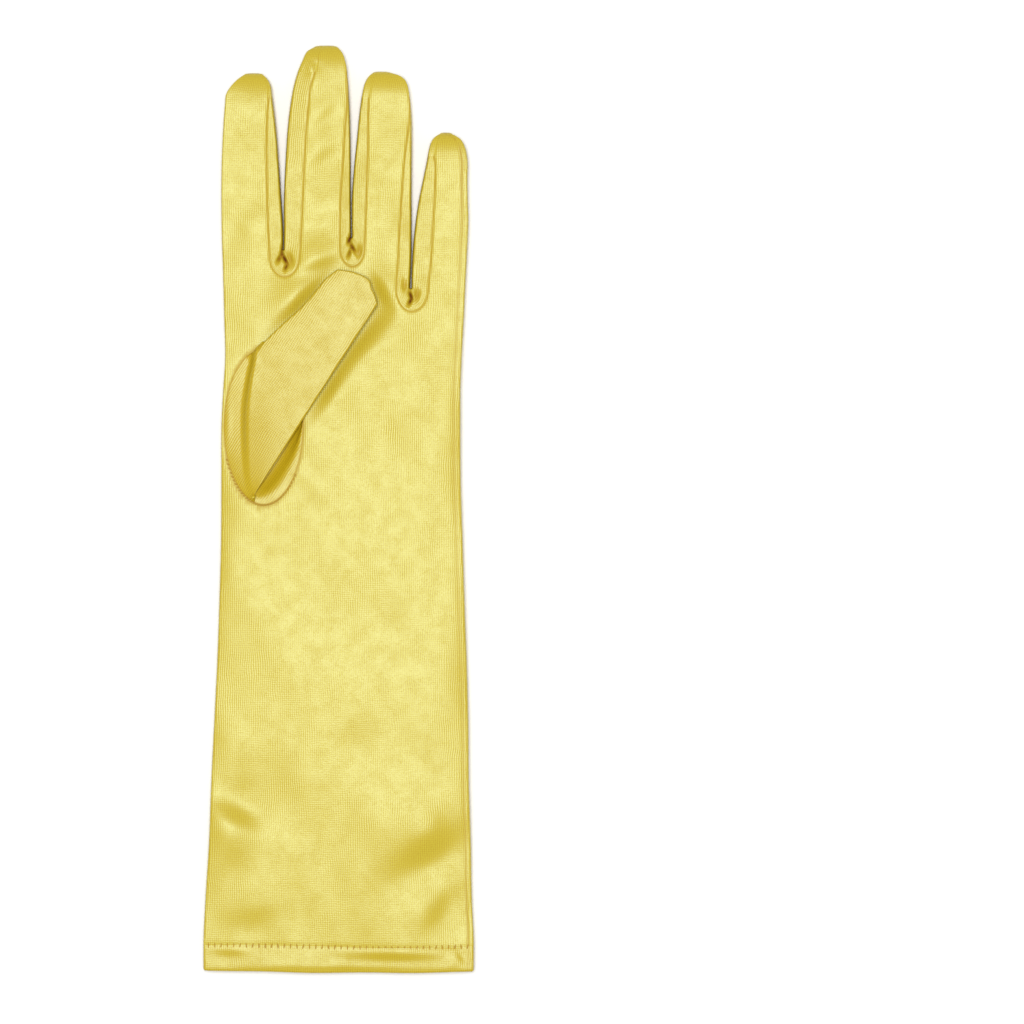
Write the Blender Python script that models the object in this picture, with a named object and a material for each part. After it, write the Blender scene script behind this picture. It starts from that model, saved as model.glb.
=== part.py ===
"""Long dress glove of stretch satin for the left hand, lying palm up on a flat surface.

Metres. +Y runs to the fingertips, +X to the little finger and +Z up from the surface that the back
of the glove lies on. The origin is on that surface, under the middle of the glove. While the shapes
are worked out, y is measured from the edge of the hem and x from the middle of the cuff.
"""

import math
from collections import namedtuple

import bmesh
import bpy
import numpy as np
from mathutils import Matrix

# Cloth and seams
WALL = 0.0010
HEM_WALL = 0.0016
SEAM_GAP = 0.0003
FINGER_SLIT = 0.0006

# Sleeve and palm, from the edge of the hem to the lowest fork
SLEEVE_LENGTH = 0.2438
CUFF_WIDTH = 0.0999
KNUCKLE_SHIFT = 0.0021
HEM_DEPTH = 0.0093
HEM_FOLD = 0.0008

# Heights above the surface: at the sides and fingers, and at the middle of the palm
SIDE_HEIGHT = 0.0086
PALM_HEIGHT = 0.0102
EDGE_ROUND = 0.0030

# Fingers: flat width at the root, length from the lowest fork to the tip
INDEX_WIDTH = 0.0225
INDEX_LENGTH = 0.0883
MIDDLE_WIDTH = 0.0245
MIDDLE_LENGTH = 0.0985
RING_WIDTH = 0.0219
RING_LENGTH = 0.0888
LITTLE_WIDTH = 0.0203
LITTLE_LENGTH = 0.0663
TIP_ROUND = 0.0088
TIP_STRAIGHT = 0.0015

# Thumb and the oval hole that it is sewn into
THUMB_HOLE_WIDTH = 0.0283
THUMB_HOLE_LENGTH = 0.0560
THUMB_HOLE_RISE = 0.2011
THUMB_HOLE_INSET = 0.0022
THUMB_WIDTH = 0.0275
THUMB_LENGTH = 0.0470
THUMB_HEIGHT = 0.0072
THUMB_LEAN = math.radians(37)
THUMB_FOLD = 0.0008

# How finely the faces follow the shapes
SLEEVE_STEPS = 18
FINGER_STEPS = 6
STRIP_COLUMNS = 3
FORK_STEPS = 6
SIDE_STEPS = 4
ROUND_STEPS = 3
HEM_COLUMNS = 12
THUMB_TOP_STEPS = 12
THUMB_UNDER_STEPS = 6
TIP_ANGLES = tuple(math.radians(angle) for angle in (25, 50, 75))
TIP_SQUARENESS = 0.85
PLAN_SAMPLES = 200

# Colours (linear) and roughness of the satin
SATIN = (0.80, 0.66, 0.17)
SATIN_SHADE = (0.74, 0.58, 0.12)
SATIN_HEM = (0.78, 0.62, 0.14)
SATIN_ROUGHNESS = 0.45

# Sleeve: height up it, how far each side draws in from the straight line between cuff and knuckles
# (shares of the cuff's width), and how far the palm fills out to its full height
Section = namedtuple("Section", "up left_in right_in fullness")
SLEEVE_SECTIONS = (
    Section(0.00, 0.000, 0.000, 0.00),
    Section(0.22, 0.009, 0.009, 0.55),
    Section(0.35, 0.015, 0.010, 0.80),
    Section(0.48, 0.021, 0.017, 0.95),
    Section(0.60, 0.016, 0.025, 1.00),
    Section(0.73, 0.011, 0.029, 1.00),
    Section(0.82, 0.012, 0.027, 0.90),
    Section(0.90, 0.014, 0.014, 0.60),
    Section(1.00, 0.000, 0.000, 0.00),
)

# Fingers: height up the finger, how far each side draws in from the root, and how far the palm
# seams lie in from the sides (0 on the two sides without one), as shares of the finger's width
FingerSection = namedtuple("FingerSection", "up left_in right_in left_seam right_seam")
INDEX_SECTIONS = (
    FingerSection(0.00, 0.00, 0.00, 0.00, 0.22),
    FingerSection(0.35, 0.00, 0.00, 0.00, 0.22),
    FingerSection(0.64, 0.02, 0.07, 0.00, 0.20),
    FingerSection(0.81, 0.05, 0.12, 0.00, 0.17),
    FingerSection(0.92, 0.08, 0.18, 0.00, 0.15),
)
MIDDLE_SECTIONS = (
    FingerSection(0.00, 0.00, 0.00, 0.22, 0.16),
    FingerSection(0.31, 0.00, 0.00, 0.28, 0.16),
    FingerSection(0.57, 0.03, 0.00, 0.28, 0.15),
    FingerSection(0.72, 0.07, 0.00, 0.26, 0.14),
    FingerSection(0.84, 0.13, 0.02, 0.23, 0.13),
    FingerSection(0.92, 0.20, 0.05, 0.20, 0.13),
)
RING_SECTIONS = (
    FingerSection(0.00, 0.00, 0.00, 0.22, 0.24),
    FingerSection(0.34, 0.00, 0.00, 0.24, 0.19),
    FingerSection(0.63, 0.05, 0.00, 0.22, 0.15),
    FingerSection(0.80, 0.12, 0.00, 0.17, 0.14),
    FingerSection(0.90, 0.17, 0.03, 0.14, 0.14),
)
LITTLE_SECTIONS = (
    FingerSection(0.00, 0.00, 0.00, 0.34, 0.00),
    FingerSection(0.35, 0.01, 0.00, 0.33, 0.00),
    FingerSection(0.55, 0.09, 0.00, 0.29, 0.00),
    FingerSection(0.74, 0.20, 0.00, 0.22, 0.00),
    FingerSection(0.85, 0.26, 0.00, 0.17, 0.00),
    FingerSection(0.91, 0.30, 0.02, 0.15, 0.00),
)

Finger = namedtuple("Finger", "name width length sections")
FINGERS = (
    Finger("index", INDEX_WIDTH, INDEX_LENGTH, INDEX_SECTIONS),
    Finger("middle", MIDDLE_WIDTH, MIDDLE_LENGTH, MIDDLE_SECTIONS),
    Finger("ring", RING_WIDTH, RING_LENGTH, RING_SECTIONS),
    Finger("little", LITTLE_WIDTH, LITTLE_LENGTH, LITTLE_SECTIONS),
)

# Forks: rise of the seam's lowest point over the lowest fork and height of the web over it (shares
# of the middle finger's length), and depth of the seam's round bottom as a share of its width
Fork = namedtuple("Fork", "rise web depth")
FORKS = (
    Fork(0.131, 0.096, 0.56),
    Fork(0.170, 0.104, 0.54),
    Fork(0.000, 0.085, 0.64),
)

# Soft dents in the palm side: middle (shares of the cuff's width and the sleeve's length), half
# length and half width (shares of the cuff's width), turn, and depth (share of the palm's height)
Dent = namedtuple("Dent", "across up long wide turn depth")
DENTS = (
    Dent(0.32, 0.195, 0.20, 0.09, 42, 0.16),
    Dent(-0.35, 0.233, 0.12, 0.08, 35, 0.12),
    Dent(0.08, 0.366, 0.10, 0.08, 60, 0.07),
    Dent(0.04, 0.600, 0.12, 0.08, 20, 0.06),
    Dent(0.24, 0.830, 0.14, 0.09, 120, 0.08),
)

# Thumb: how far along, flat width, turn of the section's line and height, as shares of the sizes
ThumbSection = namedtuple("ThumbSection", "along width turn height")
THUMB_SECTIONS = (
    ThumbSection(0.25, 1.00, 54, 1.00),
    ThumbSection(0.50, 0.90, 50, 0.98),
    ThumbSection(0.72, 0.81, 44, 0.94),
    ThumbSection(0.86, 0.75, 39, 0.90),
)
THUMB_HINGE = (0.51, 0.63)
THUMB_HOLE_START = math.radians(97)
THUMB_TOP_SWEEP = math.radians(270)
THUMB_EDGE_SHARE = 0.35
THUMB_TOP_POWER = 2.5
THUMB_UNDER_POWER = 6
ELBOW_SHARES = (0.08, 0.36, 0.68)
CUTTER_FLOOR = 0.55
FOURCHETTE_FLAT = 0.3


def clear_scene():
    for old in list(bpy.data.objects):
        bpy.data.objects.remove(old, do_unlink=True)


def smooth(at, rows, column):
    """A table's column at the shares asked for, on a cubic curve through its rows."""
    ups = np.array([row.up for row in rows])
    values = np.array([getattr(row, column) for row in rows])
    slopes = np.gradient(values, ups)
    low = np.clip(np.searchsorted(ups, at, side="right") - 1, 0, len(ups) - 2)
    span = ups[low + 1] - ups[low]
    t = np.clip((at - ups[low]) / span, 0.0, 1.0)
    ease = t * t * (3.0 - 2.0 * t)
    bend = span * t * (1.0 - t) * ((1.0 - t) * slopes[low] - t * slopes[low + 1])
    return values[low] * (1.0 - ease) + values[low + 1] * ease + bend


def knuckle_width():
    widths = sum(finger.width for finger in FINGERS)
    return widths + FINGER_SLIT * (len(FINGERS) - 1)


def finger_root(number):
    """x of the left side of a finger's root."""
    before = sum(finger.width for finger in FINGERS[:number])
    return KNUCKLE_SHIFT - knuckle_width() / 2 + before + FINGER_SLIT * number


def finger_side(number, y, side):
    """x of a finger's left or right side at height y."""
    finger = FINGERS[number]
    up = (np.asarray(y) - SLEEVE_LENGTH) / finger.length
    drawn_in = finger.width * smooth(up, finger.sections, side + "_in")
    if side == "left":
        return finger_root(number) + drawn_in
    return finger_root(number) + finger.width - drawn_in


def finger_seam(number, y, side):
    """x of the palm seam on a finger's side at height y, or of the flat's end on an outer side."""
    finger = FINGERS[number]
    up = (np.asarray(y) - SLEEVE_LENGTH) / finger.length
    inward = EDGE_ROUND
    if not is_outer(number, side):
        inward = finger.width * smooth(up, finger.sections, side + "_seam")
    return finger_side(number, y, side) + (inward if side == "left" else -inward)


def is_outer(number, side):
    """True for the two sides that the main cut makes itself: index left and little right."""
    return (number, side) in ((0, "left"), (len(FINGERS) - 1, "right"))


def glove_side(y, side):
    """x of the glove's outermost left or right side at height y, sleeve and outer finger alike."""
    y = np.asarray(y, dtype=float)
    number = 0 if side == "left" else len(FINGERS) - 1
    sign = -1.0 if side == "left" else 1.0
    up = np.clip(y / SLEEVE_LENGTH, 0.0, 1.0)
    cuff = sign * CUFF_WIDTH / 2
    knuckle = KNUCKLE_SHIFT + sign * knuckle_width() / 2
    drawn_in = CUFF_WIDTH * smooth(up, SLEEVE_SECTIONS, side + "_in")
    sleeve = cuff + (knuckle - cuff) * up - sign * drawn_in
    return np.where(y < SLEEVE_LENGTH, sleeve, finger_side(number, y, side))


def palm_height(x, y):
    """Height of the palm side: full in the middle, lower to the sides, with its soft dents."""
    left = glove_side(y, "left") + EDGE_ROUND
    right = glove_side(y, "right") - EDGE_ROUND
    across = (2.0 * x - left - right) / (right - left)
    up = np.clip(y / SLEEVE_LENGTH, 0.0, 1.0)
    crown = smooth(up, SLEEVE_SECTIONS, "fullness") * np.clip(1.0 - across**2, 0.0, 1.0)
    height = SIDE_HEIGHT + (PALM_HEIGHT - SIDE_HEIGHT) * crown
    for dent in DENTS:
        along_x = x - dent.across * CUFF_WIDTH
        along_y = y - dent.up * SLEEVE_LENGTH
        turn = math.radians(dent.turn)
        u = (along_x * math.cos(turn) + along_y * math.sin(turn)) / (dent.long * CUFF_WIDTH)
        v = (along_y * math.cos(turn) - along_x * math.sin(turn)) / (dent.wide * CUFF_WIDTH)
        height = height - dent.depth * PALM_HEIGHT * np.exp(-2.0 * (u * u + v * v))
    return height


def fork_bottom(number):
    return SLEEVE_LENGTH + FORKS[number].rise * MIDDLE_LENGTH


def fork_top(number):
    """Height at which the seam's round bottom starts on both fingers."""
    low = fork_bottom(number)
    width = finger_seam(number + 1, low, "left") - finger_seam(number, low, "right")
    return low + FORKS[number].depth * width


def fork_web(number):
    return fork_bottom(number) + FORKS[number].web * MIDDLE_LENGTH


def fork_arc(number):
    """The seam's round bottom at a fork, from the left finger to the right one: x and y."""
    top = fork_top(number)
    start = finger_seam(number, top, "right")
    end = finger_seam(number + 1, top, "left")
    angles = np.linspace(math.pi, 0.0, FORK_STEPS + 1)
    x = (start + end) / 2 + (end - start) / 2 * np.cos(angles)
    y = top - (top - fork_bottom(number)) * np.sin(angles)
    return x, y


def finger_base(number, side):
    """Height of a finger's first row of points on one side."""
    if is_outer(number, side):
        return fork_top(0 if side == "left" else len(FORKS) - 1)
    return fork_top(number - 1 if side == "left" else number)


def seam_end(number):
    """Height at which a finger's side seams stop, a little before its tip begins to round."""
    return SLEEVE_LENGTH + FINGERS[number].length - TIP_ROUND - TIP_STRAIGHT


def finger_row(number, share):
    """One row of points across a finger's front, from its first row (0) to its seams' end (1)."""
    across = np.linspace(0.0, 1.0, STRIP_COLUMNS + 1)
    left_base = finger_base(number, "left")
    right_base = finger_base(number, "right")
    base = left_base + (right_base - left_base) * across
    y = base + (seam_end(number) - base) * share
    left = finger_seam(number, y, "left")
    right = finger_seam(number, y, "right")
    return left + (right - left) * across, y


def knuckle_line():
    """The palm's last row: along the fingers' first rows and round the forks' bottoms."""
    xs, ys = finger_row(0, 0.0)
    for number in range(len(FORKS)):
        arc_x, arc_y = fork_arc(number)
        row_x, row_y = finger_row(number + 1, 0.0)
        xs = np.concatenate((xs, arc_x[1:], row_x[1:]))
        ys = np.concatenate((ys, arc_y[1:], row_y[1:]))
    return xs, ys


def rounded_side(x_out, x_in, y, height):
    """Points down a rounded side, from the top of the flat front to the flat back."""
    angles = np.linspace(0.0, math.pi, SIDE_STEPS + 1)[1:-1]
    x = x_in + (x_out - x_in) * np.sin(angles)
    z = height / 2 * (1.0 + np.cos(angles))
    return np.column_stack((x, np.full_like(x, y), z))


def closed_ring(x, y, z, left_out, right_out):
    """A ring of points: across the front, down the right side, back below, up the left side."""
    front = np.column_stack((x, y, z))
    back = np.column_stack((x, y, np.zeros_like(x)))[::-1]
    right = rounded_side(right_out, x[-1], y[-1], z[-1])
    left = rounded_side(left_out, x[0], y[0], z[0])[::-1]
    return np.vstack((front, right, back, left))


def sleeve_ring(y, across):
    """A ring round the sleeve, with its points across the front at the shares asked for."""
    left_out = glove_side(y, "left")
    right_out = glove_side(y, "right")
    left = left_out + EDGE_ROUND
    right = right_out - EDGE_ROUND
    x = left + (right - left) * across
    return closed_ring(x, y, palm_height(x, y), left_out[0], right_out[-1])


def sleeve_rings():
    """Rings from the hem seam to the knuckle line, whose points slide from evenly spaced to it."""
    top_x, top_y = knuckle_line()
    left = glove_side(top_y, "left") + EDGE_ROUND
    right = glove_side(top_y, "right") - EDGE_ROUND
    top_across = (top_x - left) / (right - left)
    even = np.linspace(0.0, 1.0, len(top_x))
    start = HEM_DEPTH + SEAM_GAP
    rings = []
    for share in np.linspace(0.0, 1.0, SLEEVE_STEPS + 1):
        across = even + (top_across - even) * share
        rings.append(sleeve_ring(start + (top_y - start) * share, across))
    return rings


def finger_ring(number, share):
    x, y = finger_row(number, share)
    left_out = finger_side(number, y[0], "left")
    right_out = finger_side(number, y[-1], "right")
    return closed_ring(x, y, np.full_like(x, SIDE_HEIGHT), left_out, right_out)


def tip_rings(number):
    """Rings that round a finger off from its seams' end to its tip."""
    finger = FINGERS[number]
    last = finger_ring(number, 1.0)
    tip = SLEEVE_LENGTH + finger.length
    start = tip - TIP_ROUND
    rings = []
    for angle in (0.0, *TIP_ANGLES):
        y = start + TIP_ROUND * math.sin(angle) / math.sin(TIP_ANGLES[-1])
        left = finger_side(number, y, "left")
        right = finger_side(number, y, "right")
        size = math.cos(angle) ** TIP_SQUARENESS
        ring = last.copy()
        middle = (last[:, 0].min() + last[:, 0].max()) / 2
        width = last[:, 0].max() - last[:, 0].min()
        ring[:, 0] = (left + right) / 2 + (last[:, 0] - middle) * size * (right - left) / width
        ring[:, 1] = y
        ring[:, 2] = SIDE_HEIGHT / 2 + (last[:, 2] - SIDE_HEIGHT / 2) * size
        rings.append(ring)
    return rings


def add_grid(bm, rows, closed, skip=()):
    """Joins rows of points by faces, and leaves out the columns of faces listed in skip."""
    made = [[bm.verts.new(point) for point in row] for row in rows]
    columns = len(rows[0]) if closed else len(rows[0]) - 1
    for lower, upper in zip(made, made[1:]):
        for column in range(columns):
            if column in skip:
                continue
            beside = (column + 1) % len(lower)
            bm.faces.new((lower[column], lower[beside], upper[beside], upper[column]))
    return made


def open_columns(number):
    """The columns of faces on a finger's sides that a fourchette makes instead."""
    right_start = STRIP_COLUMNS
    left_start = 2 * STRIP_COLUMNS + SIDE_STEPS
    columns = []
    if not is_outer(number, "right"):
        columns += range(right_start, right_start + SIDE_STEPS)
    if not is_outer(number, "left"):
        columns += range(left_start, left_start + SIDE_STEPS)
    return columns


def centring():
    """Move that brings the middle of the glove's plan over the origin."""
    left = glove_side(np.linspace(0.0, seam_end(0), PLAN_SAMPLES), "left").min()
    right = glove_side(np.linspace(0.0, seam_end(len(FINGERS) - 1), PLAN_SAMPLES), "right").max()
    longest = max(finger.length for finger in FINGERS)
    return np.array((-(left + right) / 2, -(SLEEVE_LENGTH + longest) / 2, 0.0))


def satin(name, colour):
    """Stretch satin: yellow, with a soft gloss."""
    material = bpy.data.materials.new(name)
    material.use_nodes = True
    shader = material.node_tree.nodes["Principled BSDF"]
    shader.inputs["Base Color"].default_value = (*colour, 1.0)
    shader.inputs["Roughness"].default_value = SATIN_ROUGHNESS
    shader.inputs["Metallic"].default_value = 0.0
    return material


def finish_piece(name, bm, wall, material):
    """Makes an object of a sheet of cloth and gives it its thickness, inwards."""
    bmesh.ops.remove_doubles(bm, verts=bm.verts, dist=WALL / 1000)
    loose = [vertex for vertex in bm.verts if not vertex.link_faces]
    bmesh.ops.delete(bm, geom=loose, context="VERTS")
    mesh = bpy.data.meshes.new(name)
    bm.to_mesh(mesh)
    bm.free()
    mesh.shade_smooth()
    mesh.transform(Matrix.Translation(centring()))
    piece = bpy.data.objects.new(name, mesh)
    bpy.context.scene.collection.objects.link(piece)
    mesh.materials.append(material)
    cloth = piece.modifiers.new("cloth", "SOLIDIFY")
    cloth.thickness = wall
    cloth.offset = -1.0
    return piece


def make_trank():
    """Main cut: the sleeve's tube and the four fingers' fronts, backs and closed tips."""
    bm = bmesh.new()
    add_grid(bm, sleeve_rings(), closed=True)
    for number in range(len(FINGERS)):
        shares = np.linspace(0.0, 1.0, FINGER_STEPS + 1)
        rings = [finger_ring(number, share) for share in shares]
        add_grid(bm, rings, closed=True, skip=open_columns(number))
        tip = add_grid(bm, [rings[-1], *tip_rings(number)], closed=True)
        bm.faces.new(tip[-1])
    trank = finish_piece("trank", bm, WALL, satin("trank_satin", SATIN))
    hole = trank.modifiers.new("thumb_hole", "BOOLEAN")
    hole.operation = "DIFFERENCE"
    hole.solver = "EXACT"
    hole.object = make_hole_cutter()
    return trank


def thumb_hole():
    """Middle of the oval hole and half its width and length."""
    middle_x = float(glove_side(THUMB_HOLE_RISE, "left")) + THUMB_HOLE_INSET + THUMB_HOLE_WIDTH / 2
    half = np.array((THUMB_HOLE_WIDTH, THUMB_HOLE_LENGTH)) / 2
    return np.array((middle_x, THUMB_HOLE_RISE)), half


def hole_rim(inward):
    """Points round the hole, drawn in by a distance: past its left and foot, then its fold."""
    middle, half = thumb_hole()
    open_part = np.linspace(0.0, THUMB_TOP_SWEEP, THUMB_TOP_STEPS + 1)
    fold_part = np.linspace(THUMB_TOP_SWEEP, 2 * math.pi, THUMB_UNDER_STEPS + 1)[1:-1]
    angles = THUMB_HOLE_START + np.concatenate((open_part, fold_part))
    return middle + (half - inward) * np.column_stack((np.cos(angles), np.sin(angles)))


def make_hole_cutter():
    """Upright oval prism that opens the palm side only."""
    bm = bmesh.new()
    rim = hole_rim(0.0)
    foot = [bm.verts.new((x, y, SIDE_HEIGHT * CUTTER_FLOOR)) for x, y in rim]
    base = bm.faces.new(foot)
    grown = bmesh.ops.extrude_face_region(bm, geom=[base])["geom"]
    top = [item for item in grown if isinstance(item, bmesh.types.BMVert)]
    bmesh.ops.translate(bm, verts=top, vec=(0.0, 0.0, PALM_HEIGHT))
    bmesh.ops.recalc_face_normals(bm, faces=bm.faces)
    mesh = bpy.data.meshes.new("thumb_hole_cutter")
    bm.to_mesh(mesh)
    bm.free()
    mesh.transform(Matrix.Translation(centring()))
    cutter = bpy.data.objects.new("thumb_hole_cutter", mesh)
    bpy.context.scene.collection.objects.link(cutter)
    cutter.hide_render = True
    cutter.display_type = "WIRE"
    return cutter


def thumb_section(along, width, turn, height, size=1.0):
    """A ring round the flattened thumb: a flat underside and a rounded top, size for its tip."""
    middle, half = thumb_hole()
    hinge = middle + half * np.array(THUMB_HINGE)
    direction = np.array((math.sin(THUMB_LEAN), math.cos(THUMB_LEAN)))
    line = np.array((math.cos(turn), -math.sin(turn)))
    top = np.linspace(-1.0, 1.0, THUMB_TOP_STEPS + 1)
    under = np.linspace(1.0, -1.0, THUMB_UNDER_STEPS + 1)[1:-1]
    dome = np.sqrt(1.0 - np.abs(top) ** THUMB_TOP_POWER)
    top_rise = THUMB_EDGE_SHARE + (1.0 - THUMB_EDGE_SHARE) * dome
    under_rise = THUMB_EDGE_SHARE * np.abs(under) ** THUMB_UNDER_POWER
    across = np.concatenate((top, under))[:, None] * line * THUMB_WIDTH * width / 2
    plan = hinge + direction * THUMB_LENGTH * along + across * size
    rise = THUMB_EDGE_SHARE + (np.concatenate((top_rise, under_rise)) - THUMB_EDGE_SHARE) * size
    return np.column_stack((plan, PALM_HEIGHT + SEAM_GAP + THUMB_HEIGHT * height * rise))


def thumb_elbow(share):
    """A ring between the hole and the thumb's first section: the near side folds over the rim."""
    inside = hole_rim(SEAM_GAP)
    outside = hole_rim(-THUMB_FOLD)
    base = np.column_stack((inside, palm_height(inside[:, 0], inside[:, 1]) + SEAM_GAP))
    folded = np.ones(len(base), dtype=bool)
    folded[1:THUMB_TOP_STEPS] = False
    base[folded, :2] = outside[folded]
    base[folded, 2] = PALM_HEIGHT + SEAM_GAP
    first = THUMB_SECTIONS[0]
    section = thumb_section(first.along, first.width, math.radians(first.turn), first.height)
    ring = base + (section - base) * share
    eased = math.sin(share * math.pi / 2)
    ring[~folded, 2] = base[~folded, 2] + (section - base)[~folded, 2] * eased
    return ring


def make_thumb():
    """Set-in thumb: a skirt in the oval hole, a folded elbow and a tapered tube to the tip."""
    skirt = hole_rim(SEAM_GAP)
    palm = palm_height(skirt[:, 0], skirt[:, 1])
    rings = [np.column_stack((skirt, palm - WALL)), np.column_stack((skirt, palm + SEAM_GAP))]
    rings += [thumb_elbow(share) for share in ELBOW_SHARES]
    for row in THUMB_SECTIONS:
        rings.append(thumb_section(row.along, row.width, math.radians(row.turn), row.height))
    last = THUMB_SECTIONS[-1]
    for angle in TIP_ANGLES:
        along = last.along + (1.0 - last.along) * math.sin(angle) / math.sin(TIP_ANGLES[-1])
        size = math.cos(angle) ** TIP_SQUARENESS
        rings.append(thumb_section(along, last.width, THUMB_LEAN, last.height, size))
    bm = bmesh.new()
    made = add_grid(bm, rings, closed=True)
    bm.faces.new(made[-1])
    return finish_piece("thumb", bm, WALL, satin("thumb_satin", SATIN_SHADE))


def fourchette_path(number):
    """Points along both edges of a strip round a fork: its palm seam, and its outermost line."""
    left, right = number, number + 1
    shares = np.linspace(1.0, 0.0, FINGER_STEPS + 1)
    top, web, low = fork_top(number), fork_web(number), fork_bottom(number)
    ends = [seam_end(finger) - SEAM_GAP for finger in (left, right)]
    down = top + (ends[0] - top) * shares
    rise = top + (ends[1] - top) * shares[::-1]
    seam_left = np.column_stack((finger_seam(left, down, "right") + SEAM_GAP, down))
    seam_right = np.column_stack((finger_seam(right, rise, "left") - SEAM_GAP, rise))
    angles = np.linspace(math.pi, 0.0, FORK_STEPS + 1)[1:-1]
    round_part = np.column_stack((np.cos(angles), -np.sin(angles)))
    reach = np.array(((seam_right[0, 0] - seam_left[-1, 0]) / 2, top - low - SEAM_GAP))
    seam_round = np.array(((seam_left[-1, 0] + seam_right[0, 0]) / 2, top)) + round_part * reach
    down = web + (ends[0] - web) * shares
    rise = web + (ends[1] - web) * shares[::-1]
    out_left = np.column_stack((finger_side(left, down, "right"), down))
    out_right = np.column_stack((finger_side(right, rise, "left"), rise))
    slit = (out_right[0, 0] - out_left[-1, 0]) / 2
    out_round = (out_left[-1] + out_right[0]) / 2 + round_part * slit
    return np.vstack((seam_left, seam_round, seam_right)), np.vstack((out_left, out_round, out_right))


def make_fourchette(number):
    """Finger side strip: a rounded wall from back seam to palm seam, carried round the fork."""
    seam, out = fourchette_path(number)
    angles = np.linspace(0.0, math.pi / 2, ROUND_STEPS + 1)
    flat = FOURCHETTE_FLAT
    outward = np.concatenate(((0.0,), flat + (1.0 - flat) * np.sin(angles)))
    rise = np.concatenate(((1.0,), (1.0 + np.cos(angles)) / 2))
    outward = np.concatenate((outward, outward[-2::-1]))[::-1]
    rise = np.concatenate((rise, 1.0 - rise[-2::-1]))[::-1]
    rows = []
    for seam_point, out_point in zip(seam, out):
        plan = seam_point + outward[:, None] * (out_point - seam_point)
        rows.append(np.column_stack((plan, SIDE_HEIGHT * rise)))
    bm = bmesh.new()
    add_grid(bm, rows, closed=False)
    name = f"fourchette_{FINGERS[number].name}_{FINGERS[number + 1].name}"
    return finish_piece(name, bm, WALL, satin(name + "_satin", SATIN_SHADE))


def make_cuff_hem():
    """Turned hem: a band of two layers round the mouth, its folded edge rounded."""
    across = np.linspace(0.0, 1.0, HEM_COLUMNS + 1)
    rings = [sleeve_ring(np.full_like(across, y), across) for y in (0.0, HEM_FOLD, HEM_DEPTH)]
    fold = rings[0]
    fold[:, 0] *= 1.0 - HEM_FOLD / CUFF_WIDTH
    fold[:, 2] = SIDE_HEIGHT / 2 + (fold[:, 2] - SIDE_HEIGHT / 2) * (1.0 - HEM_FOLD / SIDE_HEIGHT)
    bm = bmesh.new()
    add_grid(bm, rings, closed=True)
    return finish_piece("cuff_hem", bm, HEM_WALL, satin("hem_satin", SATIN_HEM))


clear_scene()
make_trank()
make_thumb()
for fork in range(len(FORKS)):
    make_fourchette(fork)
make_cuff_hem()
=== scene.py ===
"""Long dress glove of stretch satin for the left hand, lying palm up on a pale floor.

Metres, +Y to the fingertips, +X to the little finger, +Z up. Tables are in millimetres from the
glove's middle, measured on the photograph, and points turn to metres as a mesh is made of them.
"""

import math
from collections import namedtuple

import bmesh
import bpy
import numpy as np
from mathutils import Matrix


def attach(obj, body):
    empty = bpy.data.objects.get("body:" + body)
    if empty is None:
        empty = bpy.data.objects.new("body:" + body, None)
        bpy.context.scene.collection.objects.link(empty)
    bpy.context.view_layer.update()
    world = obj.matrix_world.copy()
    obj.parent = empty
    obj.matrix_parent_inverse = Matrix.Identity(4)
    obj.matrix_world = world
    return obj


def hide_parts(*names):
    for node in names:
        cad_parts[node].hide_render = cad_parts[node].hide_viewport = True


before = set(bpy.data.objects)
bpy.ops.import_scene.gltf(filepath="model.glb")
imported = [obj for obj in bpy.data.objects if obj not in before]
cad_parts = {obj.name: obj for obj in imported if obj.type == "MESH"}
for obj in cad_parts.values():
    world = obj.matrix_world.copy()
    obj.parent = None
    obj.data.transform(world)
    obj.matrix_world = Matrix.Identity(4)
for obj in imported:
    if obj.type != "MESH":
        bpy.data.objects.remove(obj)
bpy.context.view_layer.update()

# Camera, floor and light. The glove is seen from straight above through a long lens, with the same
# width of floor across the picture as in the photograph. One wide soft lamp over it gives the pale
# gloss of the flat satin, and a bright room fills the sides.
MM = 0.001
PHOTO_PIXELS = 1024
PHOTO_MM = 0.37
PHOTO_MIDDLE = (339.25, 509.0)
CAMERA_HEIGHT = 2.2
LAMP_HEIGHT = 2.7
LAMP_SIZE = 0.9
LAMP_POWER = 61.0
LAMP_ASIDE = 0.08
ROOM_LIGHT = 0.43
FLOOR_SIZE = 3.0
FLOOR_COLOUR = "#F4F4F4"
PAPER_ROUGHNESS = 0.9
PAPER_GLOSS = 0.2


def linear(hex_colour):
    """Linear colour of an sRGB hex value: below 0.04045 c / 12.92, above ((c + 0.055) / 1.055)^2.4."""
    parts = np.array([int(hex_colour[i:i + 2], 16) for i in (1, 3, 5)]) / 255
    bright = ((parts + 0.055) / 1.055) ** 2.4
    return (*np.where(parts <= 0.04045, parts / 12.92, bright), 1.0)


def add_node(tree, kind, inputs=(), **settings):
    """A node of the kind, its properties set. Each input names a socket and what feeds it: a plain
    value, another node's output, or a node, which gives the first of its outputs in use."""
    node = tree.nodes.new(kind)
    for name, value in settings.items():
        setattr(node, name, value)
    for socket, source in inputs:
        if isinstance(source, bpy.types.Node):
            source = next(output for output in source.outputs if output.enabled)
        if isinstance(source, bpy.types.NodeSocket):
            tree.links.new(source, node.inputs[socket])
        else:
            node.inputs[socket].default_value = source
    return node


def paper():
    """Matt coated paper: pale and even, with no gloss that would draw the eye."""
    material = bpy.data.materials.new("matt_paper")
    material.use_nodes = True
    shader = material.node_tree.nodes["Principled BSDF"]
    shader.inputs["Base Color"].default_value = linear(FLOOR_COLOUR)
    shader.inputs["Roughness"].default_value = PAPER_ROUGHNESS
    shader.inputs["Specular IOR Level"].default_value = PAPER_GLOSS
    return material


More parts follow.
